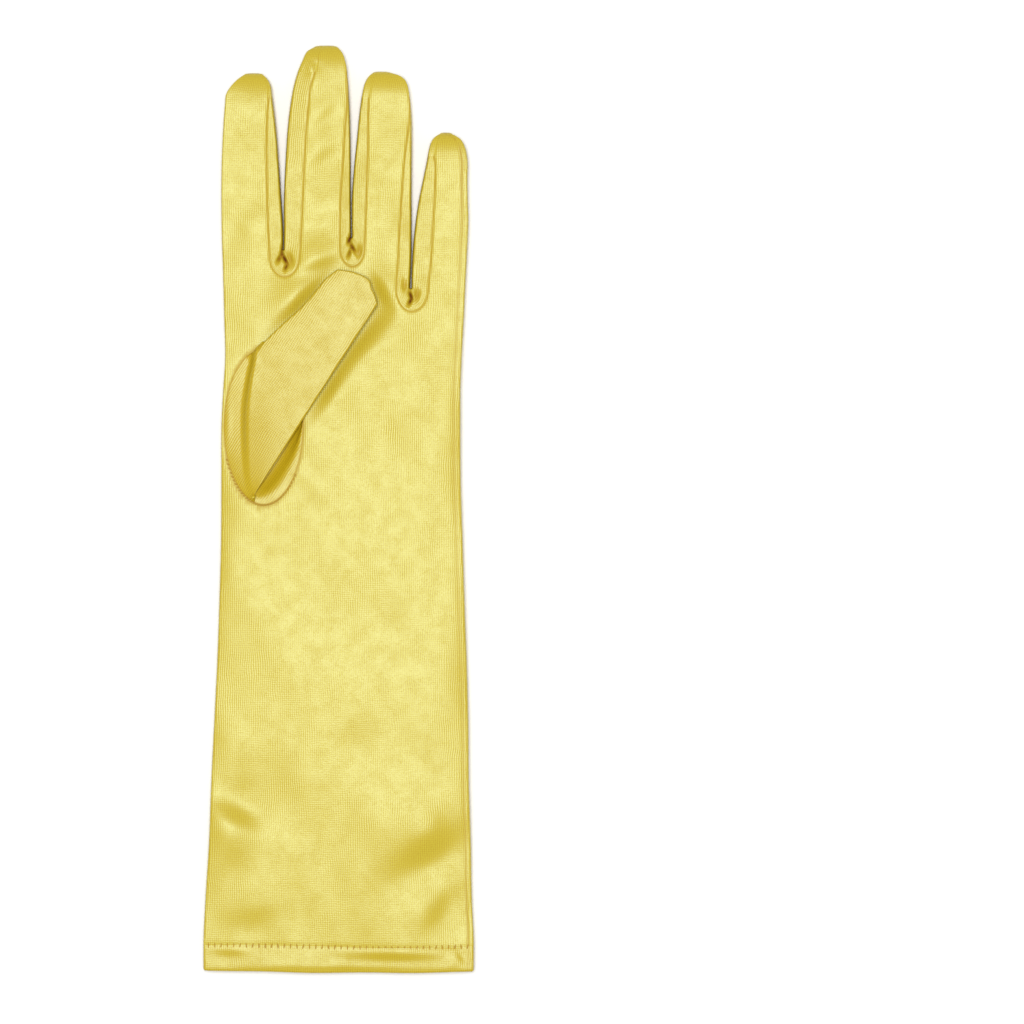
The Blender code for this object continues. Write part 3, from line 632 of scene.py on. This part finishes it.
def satin(name, face, groove):
    """Knitted satin: fine ribs along the cloth, crossed by finer courses. Its filament yarn gives a
    pale gloss where it lies level, and it is deep gold where it slants. Painted shade makes its rib
    grooves, creases and seams a deeper gold."""
    material = bpy.data.materials.new(name)
    material.use_nodes = True
    tree = material.node_tree
    shader = tree.nodes["Principled BSDF"]
    place = add_node(tree, "ShaderNodeUVMap", uv_map="cloth")
    axes = add_node(tree, "ShaderNodeSeparateXYZ", [(0, place)])
    waves = []
    for wave in (RIBS, COURSES):
        noise = add_node(tree, "ShaderNodeTexNoise",
                         [("Vector", place), ("Scale", wave.fineness), ("Detail", 1.0)])
        pushed = add_node(tree, "ShaderNodeMath",
                          [(0, noise), (1, wave.wander), (2, axes.outputs[wave.axis])],
                          operation="MULTIPLY_ADD")
        turned = add_node(tree, "ShaderNodeMath", [(0, pushed), (1, 2.0 * math.pi / wave.spacing)],
                          operation="MULTIPLY")
        waves.append(add_node(tree, "ShaderNodeMath", [(0, turned)], operation="SINE"))
    patches = add_node(tree, "ShaderNodeTexNoise",
                       [("Vector", place), ("Scale", PATCH_FINENESS), ("Detail", 2.0)])
    strength = add_node(tree, "ShaderNodeMapRange",
                        [("Value", patches), ("From Min", PATCH_LOW), ("From Max", PATCH_HIGH),
                         ("To Min", RIB_LEAST)])
    ribs = add_node(tree, "ShaderNodeMath", [(0, waves[0]), (1, strength)], operation="MULTIPLY")
    knit = add_node(tree, "ShaderNodeMath", [(0, waves[1]), (1, COURSE_SHARE), (2, ribs)],
                    operation="MULTIPLY_ADD")
    yarn = add_node(tree, "ShaderNodeTexNoise",
                    [("Vector", place), ("Scale", YARN_FINENESS), ("Detail", 2.0)])
    yarn = add_node(tree, "ShaderNodeMath", [(0, yarn), (1, 0.5)], operation="SUBTRACT")
    knit = add_node(tree, "ShaderNodeMath", [(0, yarn), (1, YARN_SHARE), (2, knit)],
                    operation="MULTIPLY_ADD")
    bump = add_node(tree, "ShaderNodeBump", [("Height", knit), ("Distance", RIB_DEPTH)])
    # Painted shade: the grooves between the ribs take the deeper groove colour, mixed with the yarn
    # noise's random tone.
    share = add_node(tree, "ShaderNodeMath", [(0, knit), (1, -GROOVE_CONTRAST), (2, GROOVE_SHARE)],
                     operation="MULTIPLY_ADD")
    colour = add_node(tree, "ShaderNodeMix", [(0, share), (6, linear(face)), (7, linear(groove))],
                      data_type="RGBA")
    # Painted shade: the crease attribute mixes in deeper gold, and red-gold where it is strongest, in
    # the creases and along the seams.
    crease = add_node(tree, "ShaderNodeAttribute", attribute_name="crease")
    deep = add_node(tree, "ShaderNodeMix",
                    [(0, crease.outputs["Fac"]), (6, colour), (7, linear(FOLD_SHADE_COLOUR))],
                    data_type="RGBA")
    darkest_shade = add_node(tree, "ShaderNodeMath", [(0, crease.outputs["Fac"]), (1, CREASE_POWER)],
                       operation="POWER")
    deep = add_node(tree, "ShaderNodeMix", [(0, darkest_shade), (6, deep), (7, linear(CREASE_SHADE_COLOUR))],
                    data_type="RGBA")
    matt = add_node(tree, "ShaderNodeMath",
                    [(0, crease.outputs["Fac"]), (1, CREASE_ROUGHNESS), (2, SATIN_ROUGHNESS)],
                    operation="MULTIPLY_ADD")
    tree.links.new(matt.outputs[0], shader.inputs["Roughness"])
    tree.links.new(deep.outputs[2], shader.inputs["Base Color"])
    tree.links.new(bump.outputs[0], shader.inputs["Normal"])
    shader.inputs["IOR"].default_value = SATIN_IOR
    shader.inputs["Specular Tint"].default_value = linear(GLOSS_TINT)
    return material


TRANK_SATIN = satin("satin_tricot", "#CBB938", "#AE8718")


def sleeve_block():
    """The sleeve's rings without the faces inside the thumb hole, whose edge is drawn onto it."""
    x, y = sleeve_points()
    rings, places = closed_rings(x, y, glove_side(y[:, 0], "left"), glove_side(y[:, -1], "right"))
    corners = rings[:-1, :-1], rings[:-1, 1:], rings[1:, 1:], rings[1:, :-1]
    middle = sum(corners) / 4
    inside = (oval_ratio(middle[..., 0], middle[..., 1]) < 1.0) & (middle[..., 2] > SIDE_HEIGHT / 2)
    inside[:, x.shape[1] - 1:] = False
    near = np.zeros((2,) + rings.shape[:2], dtype=bool)
    for side, cells in enumerate((inside, ~inside)):
        near[side, :-1, :-1] |= cells
        near[side, :-1, 1:] |= cells
        near[side, 1:, 1:] |= cells
        near[side, 1:, :-1] |= cells
    rim = near[0] & near[1]
    ratio = oval_ratio(rings[rim, 0], rings[rim, 1])[:, None]
    rings[rim, :2] = OVAL_MIDDLE + (rings[rim, :2] - OVAL_MIDDLE) / ratio
    rings[rim, 2] = palm_height(rings[rim, 0], rings[rim, 1])
    return rings, places, ~inside


def finger_blocks(number):
    """A finger's rows, without the sides that a strip makes, and the rings of its tip."""
    x, y = finger_points(number, np.linspace(0.0, 1.0, FINGER_ROWS + 1))
    left_out = finger_edge(number, y[:, 0], "left")
    right_out = finger_edge(number, y[:, -1], "right")
    rings, places = closed_rings(x, y, left_out, right_out)
    keep = np.ones((FINGER_ROWS, rings.shape[1] - 1), dtype=bool)
    if not is_outer(number, "right"):
        keep[:, FINGER_COLUMNS:FINGER_COLUMNS + SIDE_COLUMNS] = False
    if not is_outer(number, "left"):
        keep[:, 2 * FINGER_COLUMNS + SIDE_COLUMNS:] = False
    tip = tip_rings(number, rings[-1])
    tip_places = np.stack((np.broadcast_to(places[-1, :, 0], tip.shape[:2]), tip[..., 1]), axis=-1)
    return [(rings, places, keep), (tip, tip_places, np.ones((TIP_ROWS, tip.shape[1] - 1), bool))]


blocks = [sleeve_block()]
for number in range(len(FINGERS)):
    blocks += finger_blocks(number)
trank = cloth_object("glove_trank", blocks, CLOTH, TRANK_SATIN)
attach(trank, "root")
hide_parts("trank")

# Fourchettes: three strips of the same satin, each the side of one finger, round the fork and up
# the side of the next. Sewn to palm and back, each lies flat beside its seam and folds at the edge.
STRIP_ROUND = 0.8
STRIP_ROWS = 50
CROTCH_ROWS = 44
STRIP_FLAT = 14
STRIP_ARC = 8
SLIT = 0.15


def strip_path(number):
    """A strip's palm seam and outermost line, point by point: down a finger, round the fork's
    ellipse and the slit's half circle, and up the next finger."""
    fork = FORKS[number]
    middle, half = fork_middle(number)
    left_end, right_end = FINGERS[number].seam_end, FINGERS[number + 1].seam_end
    down = np.linspace(left_end, fork.top, STRIP_ROWS)
    rise = np.linspace(fork.top, right_end, STRIP_ROWS)
    angles = np.linspace(math.pi, 0.0, CROTCH_ROWS + 2)[1:-1]
    seam_x = np.concatenate((finger_edge(number, down, "right_seam"), middle + half * np.cos(angles),
                             finger_edge(number + 1, rise, "left_seam")))
    seam_y = np.concatenate((down, fork.top - (fork.top - fork.low) * np.sin(angles), rise))
    down = np.linspace(left_end, fork.web, STRIP_ROWS)
    rise = np.linspace(fork.web, right_end, STRIP_ROWS)
    left = np.minimum(finger_edge(number, down, "right"),
                      finger_edge(number + 1, down, "left") - SLIT)
    right = finger_edge(number + 1, rise, "left")
    web = (left[-1] + right[0]) / 2 + SLIT / 2 * np.cos(angles)
    out_x = np.concatenate((left, web, right))
    out_y = np.concatenate((down, fork.web - SLIT / 2 * np.sin(angles), rise))
    return seam_x, seam_y, out_x, out_y


def strip_block(number):
    """A strip's points, from palm seam to back seam at each step along it, with the cloth places
    measured along the strip."""
    seam_x, seam_y, out_x, out_y = strip_path(number)
    points = side_wrap(seam_x, seam_y, out_x, out_y, STRIP_ROUND, STRIP_FLAT, STRIP_ARC)
    steps = np.hypot(np.diff(seam_x), np.diff(seam_y))
    along = np.concatenate(((0.0,), np.cumsum(steps)))
    places = np.stack(np.broadcast_arrays(along_rows(points), along[:, None]), axis=-1)
    points, places = points[:, ::-1], places[:, ::-1]
    return points, places, np.ones((points.shape[0] - 1, points.shape[1] - 1), bool)


STRIP_SATIN = satin("satin_tricot_strip", "#C9B52E", "#AB8314")
for number in range(len(FORKS)):
    name = f"fourchette_{FINGERS[number].name}_{FINGERS[number + 1].name}"
    strip = cloth_object("satin_" + name, [strip_block(number)], CLOTH, STRIP_SATIN)
    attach(strip, "root")
    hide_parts(name)

# Thumb: a tapered tube of the same satin, set into the oval hole. It lies folded over the palm, its
# lower edge a long straight fold, and its foot stands open in the hole beside that fold.
FOLD_FOOT = (-31.5, 4.4)
FOLD_CORNER = (14.4, 75.2)
THUMB_FLOOR = 10.5
FOOT_LIFT = 0.9
THUMB_LIFT = 3.5
FOLD_UP = 0.75
STEP_HALF = 1.7
THUMB_ROUND = 0.45
PUCKER_ANGLE = math.radians(102)
THUMB_CLOSES = 0.45
CREASE_CLOSES = 0.395
FOOT_ANGLE = math.radians(-103)
CROSSING_ANGLE = math.radians(4)
TOP_COLUMNS = 52
UNDER_COLUMNS = 22
FOOT_ROWS = 66
HIDDEN_ROWS = 16
TUBE_ROWS = 64
THUMB_TIP_ROWS = 14
CREASE_TUCK = 4.0
CREASE_DROP = 3.6
# Shares up the fold between which the thumb changes: how it rises, where the tube shuts, where its
# left side lifts off, where the step across the foot steepens, and where the open crease ends
LIFT_FULL = 0.75
LIFT_POWER = 0.9
TUBE_SHUTS = (0.40, 0.52)
LEFT_LIFTS_TO = 0.56
FOLD_RISES = (0.0, 0.3)
STEP_STEEPENS = (0.08, 0.42)
TUCK_ENDS = (0.36, 0.44)
CREASE_OPENS = (0.0, 0.12)
# Depths and shares of those changes
FOLD_DROP = 0.8
RIM_UP = 0.1
STEP_LEAST = 0.15
STEP_MORE = 0.8
STEP_LATE = 0.6
CROWN_RISE = 0.3
CROWN_FLAT = 4
RIDGE_FADE = 8.0
TUCK_REACH = 0.5
UNDER_STARTS = 0.2
UNDER_POWER = 4
HOLLOW_PLACE = 0.40
HOLLOW_HALF = 0.15

TubeSide = namedtuple("TubeSide", "y x up")
TUBE_LEFT = (
    TubeSide(0.45, -30.67, 58.27), TubeSide(0.60, -21.6, 67.0), TubeSide(0.75, -12.7, 75.1),
    TubeSide(0.86, -7.9, 80.7), TubeSide(0.94, -4.2, 85.1), TubeSide(1.00, -0.3, 88.1),
)
# Where the step up to the ridge lies across the foot, as a share from the hole's edge to the fold
RidgePlace = namedtuple("RidgePlace", "y share")
RIDGE = (
    RidgePlace(0.00, 0.48), RidgePlace(0.10, 0.45), RidgePlace(0.20, 0.40),
    RidgePlace(0.30, 0.29), RidgePlace(0.36, 0.21), RidgePlace(0.42, 0.09), RidgePlace(0.45, 0.0),
)
TipReach = namedtuple("TipReach", "y reach")
TIP_REACH = (
    TipReach(0.0, 0.0), TipReach(0.25, 3.1), TipReach(0.45, 4.5), TipReach(0.60, 4.7),
    TipReach(0.72, 3.1), TipReach(0.86, 1.9), TipReach(1.0, 0.0),
)
THUMB_FOLDS = (
    Fold(-30.6, 56.0, -33.2, 38.0, 1.3, 0.35), Fold(-41.0, 42.0, -41.6, 24.0, 1.4, 0.3),
)


def ease(value, low, high):
    """0 below low, 1 above high, and 3t^2 - 2t^3 between."""
    t = np.clip((value - low) / (high - low), 0.0, 1.0)
    return t * t * (3.0 - 2.0 * t)


def on_oval(angle):
    """Points of the thumb hole's edge, an ellipse, at the angles given."""
    return np.stack((OVAL_MIDDLE[0] + OVAL_HALF[0] * np.cos(angle),
                     OVAL_MIDDLE[1] + OVAL_HALF[1] * np.sin(angle)), axis=-1)


def thumb_sheets(s):
    """The thumb's top sheet and under sheet at shares s up the fold, as rows of points. The top
    runs from the hole's left edge, or the tube's, to the fold. The underside runs back from the
    fold to the hole's right edge, or to the tube's left."""
    fold = FOLD_FOOT + (np.array(FOLD_CORNER) - FOLD_FOOT) * s[:, None]
    tube = np.stack((table_curve(s, TUBE_LEFT, "x"), table_curve(s, TUBE_LEFT, "up")), axis=-1)
    is_tube = (s >= THUMB_CLOSES)[:, None]
    turned = np.clip(s / THUMB_CLOSES, 0.0, 1.0)
    sweep = PUCKER_ANGLE - 2.0 * math.pi - FOOT_ANGLE
    left = np.where(is_tube, tube, on_oval(FOOT_ANGLE + sweep * turned))
    rim = np.clip(s / CREASE_CLOSES, 0.0, 1.0)
    hidden = np.clip((s - CREASE_CLOSES) / (THUMB_CLOSES - CREASE_CLOSES), 0.0, 1.0)
    angle = FOOT_ANGLE + (CROSSING_ANGLE - FOOT_ANGLE) * rim
    angle = angle + (PUCKER_ANGLE - CROSSING_ANGLE) * hidden
    right = np.where(is_tube, tube, on_oval(angle))

    lift = FOOT_LIFT + (THUMB_LIFT - FOOT_LIFT) * np.clip(s / LIFT_FULL, 0.0, 1.0) ** LIFT_POWER
    closed = ease(s, *TUBE_SHUTS)
    fold_z = THUMB_FLOOR + lift * FOLD_UP - FOLD_DROP * (1.0 - ease(s, *FOLD_RISES))
    left_up = ease(s, THUMB_CLOSES, LEFT_LIFTS_TO)
    left_z = (1.0 - left_up) * (palm_height(left[:, 0], left[:, 1]) + RIM_UP)
    left_z = left_z + left_up * (THUMB_FLOOR + lift * FOLD_UP)
    rim_z = palm_height(right[:, 0], right[:, 1]) + RIM_UP
    right_z = np.where(s < THUMB_CLOSES, rim_z, left_z)
    width = np.linalg.norm(fold - left, axis=-1)[:, None]

    def rounded(from_edge):
        return np.sqrt(1.0 - (1.0 - np.clip(from_edge * width / THUMB_ROUND, 0.0, 1.0)) ** 2)

    t = (1.0 - np.cos(np.linspace(0.0, math.pi, TOP_COLUMNS + 1))) / 2
    ridge = table_curve(s, RIDGE, "share")[:, None]
    step = STEP_HALF / width
    steep = STEP_LEAST + STEP_MORE * ease(s, *STEP_STEEPENS)[:, None]
    gentle = (1.0 - steep) * t + steep * ease(t, ridge - step, ridge + step * STEP_LATE)
    profile = (1.0 - closed[:, None]) * gentle + closed[:, None] * rounded(t)
    top_z = left_z[:, None] + (THUMB_FLOOR + lift - left_z)[:, None] * profile
    crown = CROWN_RISE * lift[:, None] / THUMB_LIFT * (1.0 - (2.0 * t - 1.0) ** CROWN_FLAT)
    top_plan = left[:, None] + (fold - left)[:, None] * t[:, None]
    folds = relief(top_plan[..., 0], top_plan[..., 1], THUMB_FOLDS)
    folds = folds * np.minimum(1.0, RIDGE_FADE * t)
    top_z = fold_z[:, None] + (top_z + crown + folds - fold_z[:, None]) * rounded(1.0 - t)
    top = np.concatenate((top_plan, top_z[..., None]), axis=-1)

    w = (1.0 - np.cos(np.linspace(0.0, math.pi, UNDER_COLUMNS + 1))) / 2
    run = np.array(FOLD_CORNER) - FOLD_FOOT
    away = np.array((run[1], -run[0])) / np.hypot(*run)
    tuck = CREASE_TUCK * np.sin(math.pi * np.minimum(w / TUCK_REACH, 1.0))
    tuck = tuck * (1.0 - ease(s, *TUCK_ENDS))[:, None]
    tuck = tuck * ease(s, *CREASE_OPENS)[:, None]
    plan = fold[:, None] + (right - fold)[:, None] * ease(w, UNDER_STARTS, 1.0)[:, None]
    plan = plan - tuck[..., None] * away
    open_z = right_z[:, None] + (fold_z - right_z)[:, None] * (1.0 - w) ** UNDER_POWER
    hollow = np.exp(-((w - HOLLOW_PLACE) / HOLLOW_HALF) ** 2)
    open_z = open_z - CREASE_DROP * hollow * ease(s, *CREASE_OPENS)[:, None]
    flat = rounded(w) * rounded(1.0 - w)
    shut_z = fold_z[:, None] + (right_z - fold_z)[:, None] * w
    shut_z = shut_z + (THUMB_FLOOR - shut_z) * flat
    z = open_z * (1.0 - closed[:, None]) + shut_z * closed[:, None]
    under = np.concatenate((plan, z[..., None]), axis=-1)
    return np.concatenate((top, under[:, 1:]), axis=1)


def thumb_block():
    """The thumb's rings from the hole to the tube's end, and the rings of its tip: each goes out
    level to the tip's reach less the rounding, then turns a quarter circle to the middle height."""
    s = np.concatenate((np.linspace(0.0, CREASE_CLOSES, FOOT_ROWS, endpoint=False),
                        np.linspace(CREASE_CLOSES, THUMB_CLOSES, HIDDEN_ROWS, endpoint=False),
                        np.linspace(THUMB_CLOSES, 1.0, TUBE_ROWS)))
    rings = thumb_sheets(s)
    last = rings[-1]
    chord = last[TOP_COLUMNS, :2] - last[0, :2]
    share = (last[:, :2] - last[0, :2]) @ chord / (chord @ chord)
    ahead = np.array((-chord[1], chord[0])) / np.hypot(*chord)
    reach = table_curve(np.clip(share, 0.0, 1.0), TIP_REACH, "reach")
    level = np.clip(reach - THUMB_ROUND, 0.0, None)
    part = np.linspace(0.0, 2.0, THUMB_TIP_ROWS + 1)[1:, None]
    turn = np.clip(part - 1.0, 0.0, 1.0) * math.pi / 2
    tip = np.empty((THUMB_TIP_ROWS,) + last.shape)
    step = level * np.minimum(part, 1.0) + (reach - level) * np.sin(turn)
    tip[..., :2] = last[:, :2] + step[..., None] * ahead
    middle = THUMB_FLOOR + THUMB_LIFT * FOLD_UP
    tip[..., 2] = middle + (last[:, 2] - middle) * np.cos(turn)
    points = np.concatenate((rings, tip))
    run = np.array(FOLD_CORNER) - FOLD_FOOT
    run = run / np.hypot(*run)
    from_foot = points[..., :2] - FOLD_FOOT
    across = from_foot @ np.array((run[1], -run[0]))
    across[:, TOP_COLUMNS + 1:] *= -1.0
    places = np.stack((across, from_foot @ run), axis=-1)
    return points, places, np.ones((points.shape[0] - 1, points.shape[1] - 1), bool)


# The thumb's copy of the satin is painted a deeper gold than the trank's: painted shade for the lower
# gloss of its slanting ribs.
THUMB_SHADED_SATIN = satin("satin_tricot_thumb", "#C7AF1E", "#A4780A")
thumb = cloth_object("satin_thumb", [thumb_block()], CLOTH, THUMB_SHADED_SATIN)
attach(thumb, "root")
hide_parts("thumb")

# Cuff hem: the satin turned inside once and stitched, so the mouth has a soft double edge.
HEM_FOOT = -171.1
HEM_WALL = 1.6
HEM_ROWS = 16
HEM_FOLD_ROWS = 8
HEM_COLUMNS = 150
FOOT_BOW = 1.0
FOOT_BOW_MIDDLE = 12.0
FOOT_BOW_HALF = 62.0
FOOT_WAVE = 0.12
FOOT_WAVE_LENGTH = 6.0
HEM_SLANTS = (
    Fold(4.0, -164.9, 36.0, -165.4, 1.5, 0.5), Fold(-40.0, -169.3, 44.0, -169.9, 0.9, 0.25),
    Fold(43.5, -163.5, 46.0, -168.0, 1.2, -0.3), Fold(-46.0, -163.4, -34.0, -164.2, 1.4, 0.25),
)


def hem_foot(x):
    """y of the folded edge: a parabola, lowest near the middle of the cuff, and a slight wave."""
    bow = FOOT_BOW * ((x - FOOT_BOW_MIDDLE) / FOOT_BOW_HALF) ** 2
    return HEM_FOOT + bow + FOOT_WAVE * np.sin(x / FOOT_WAVE_LENGTH)


def hem_block():
    """The band's section, down the outside, round the fold and up the inside, carried round the
    cuff: each ring of the sleeve is drawn in along its own normals."""
    across = np.linspace(0.0, 1.0, HEM_COLUMNS + 1)
    outer = np.linspace(0.0, 1.0, HEM_ROWS)
    turn = np.linspace(0.0, math.pi, HEM_FOLD_ROWS + 2)[1:-1]
    radius = HEM_WALL / 2
    down = np.concatenate((outer, 1.0 + 0 * turn, outer[::-1], outer[:1]))
    below = np.concatenate((0 * outer, radius * np.sin(turn), 0 * outer, (0.0,)))
    inset = np.concatenate((0 * outer, radius * (1.0 - np.cos(turn)), HEM_WALL + 0 * outer, (0.0,)))
    left, right = SLEEVE[0].left + EDGE_ROUND, SLEEVE[0].right - EDGE_ROUND
    x = np.broadcast_to(left + (right - left) * across, (len(down), HEM_COLUMNS + 1))
    top = hem_line(x)
    foot = hem_foot(x) + radius
    y = top + (foot - top) * down[:, None] - below[:, None]
    sides = [np.full(len(down), SLEEVE[0].left), np.full(len(down), SLEEVE[0].right)]
    rings, places = closed_rings(x, y, *sides)
    share = rings[..., 2] / np.maximum(palm_height(rings[..., 0], rings[..., 1]), 1.0)
    rings[..., 2] += slants(rings[..., 0], rings[..., 1], HEM_SLANTS) * np.clip(share, 0.0, 1.0) ** 2
    rings[:, -1] = rings[:, 0]
    run = np.roll(rings[:, :-1], -1, axis=1) - np.roll(rings[:, :-1], 1, axis=1)
    run = np.concatenate((run, run[:, :1]), axis=1)
    length = np.hypot(run[..., 0], run[..., 2])
    rings[..., 0] += run[..., 2] / length * inset[:, None]
    rings[..., 2] -= run[..., 0] / length * inset[:, None]
    places[..., 1] = y[:, :1]
    keep = np.ones((rings.shape[0] - 1, rings.shape[1] - 1), bool)
    return rings[::-1], places[::-1], keep


HEM_SATIN = satin("satin_tricot_hem", "#C8B32A", "#AA8212")
hem = cloth_object("satin_cuff_hem", [hem_block()], 0.0, HEM_SATIN)
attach(hem, "root")
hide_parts("cuff_hem")

# Stitches: spun thread, left showing as short slanting ticks along the hem and round the foot of
# the thumb hole, where each one pulls the cloth down a little.
STITCH_SPACING = 2.33
HEM_STITCH_LONG = 1.9
OVAL_STITCH_LONG = 1.1
STITCH_THICK = 0.5
STITCH_RINGS = 6
STITCH_SIDES = 6
STITCH_SLANT = math.radians(86)
STITCH_UP = 0.16
STITCH_POLE = 0.12
STITCH_BELOW = 0.1
STITCH_WANDER = 0.2
STITCH_TURN = 2.4
HEM_MARGINS = (2.0, -1.0)
TWIST_FINENESS = 2500.0
THREAD_ROUGHNESS = 0.75
OVAL_STITCH_OUT = 0.35
OVAL_STITCH_TURN = 0.4
OVAL_STITCH_SPACING = 1.4
OVAL_RADIUS = 22.0
OVAL_STITCH_ANGLES = (math.radians(-155), math.radians(-35))


def stitches(name, middles, angles, long):
    """Threads at the middles given (x and y in mm), each a slim ellipsoid of rings of points, its
    length turned by its angle. All are worked out as one array and joined in one mesh."""
    polar = np.linspace(STITCH_POLE, math.pi - STITCH_POLE, STITCH_RINGS)[:, None]
    around = np.linspace(0.0, 2.0 * math.pi, STITCH_SIDES, endpoint=False)
    length = long / 2 * np.cos(polar) + 0.0 * around
    across = STITCH_THICK / 2 * np.sin(polar) * np.cos(around)
    up = STITCH_THICK / 2 * np.sin(polar) * np.sin(around)
    cos, sin = np.cos(angles)[:, None, None], np.sin(angles)[:, None, None]
    x = middles[:, 0, None, None] + length * cos - across * sin
    y = middles[:, 1, None, None] + length * sin + across * cos
    z = palm_height(middles[:, 0], middles[:, 1])[:, None, None] + STITCH_UP + up
    points = np.stack((x, y, z), axis=-1).reshape(-1, 3)
    ring = np.arange(STITCH_RINGS - 1)[:, None] * STITCH_SIDES
    here = np.arange(STITCH_SIDES)
    beside = (here + 1) % STITCH_SIDES
    quads = (ring + here, ring + STITCH_SIDES + here, ring + STITCH_SIDES + beside, ring + beside)
    quads = np.stack(quads, axis=-1).reshape(-1, 4)
    caps = np.stack((here[::-1], here + STITCH_SIDES * (STITCH_RINGS - 1)))
    first = np.arange(len(middles))[:, None, None] * STITCH_RINGS * STITCH_SIDES
    faces = (quads + first).reshape(-1, 4).tolist()
    faces = faces + (caps + first).reshape(-1, STITCH_SIDES).tolist()
    mesh = bpy.data.meshes.new(name)
    mesh.from_pydata(points * MM, [], faces)
    mesh.materials.append(THREAD)
    piece = bpy.data.objects.new(name, mesh)
    scene.collection.objects.link(piece)
    fixed = bmesh.new()
    fixed.from_mesh(mesh)
    bmesh.ops.recalc_face_normals(fixed, faces=fixed.faces)
    fixed.to_mesh(mesh)
    fixed.free()
    mesh.shade_smooth()
    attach(piece, "root")
    return piece


def spun_thread():
    """Spun polyester thread: matt and deeper in colour than the satin, with a fine twist."""
    material = bpy.data.materials.new("spun_thread")
    material.use_nodes = True
    tree = material.node_tree
    shader = tree.nodes["Principled BSDF"]
    place = add_node(tree, "ShaderNodeTexCoord")
    twist = add_node(tree, "ShaderNodeTexNoise",
                     [("Vector", place.outputs["Object"]), ("Scale", TWIST_FINENESS)])
    colour = add_node(tree, "ShaderNodeMix",
                      [(0, twist), (6, linear("#C9A436")), (7, linear("#A57C1C"))], data_type="RGBA")
    tree.links.new(colour.outputs[2], shader.inputs["Base Color"])
    shader.inputs["Roughness"].default_value = THREAD_ROUGHNESS
    return material


THREAD = spun_thread()
hem_x = np.arange(SLEEVE[0].left + HEM_MARGINS[0], SLEEVE[0].right + HEM_MARGINS[1], STITCH_SPACING)
hem_middles = np.stack((hem_x, hem_line(hem_x) - STITCH_BELOW), axis=-1)
tick_angles = STITCH_SLANT + STITCH_WANDER * np.sin(np.arange(len(hem_x)) * STITCH_TURN)
stitches("hem_stitches", hem_middles, tick_angles, HEM_STITCH_LONG)
sweep = np.arange(*OVAL_STITCH_ANGLES, OVAL_STITCH_SPACING / OVAL_RADIUS)
oval_middles = OVAL_MIDDLE + (np.array(OVAL_HALF) + OVAL_STITCH_OUT) * np.stack(
    (np.cos(sweep), np.sin(sweep)), axis=-1)
stitches("thumb_stitches", oval_middles, sweep + math.pi / 2 + OVAL_STITCH_TURN, OVAL_STITCH_LONG)
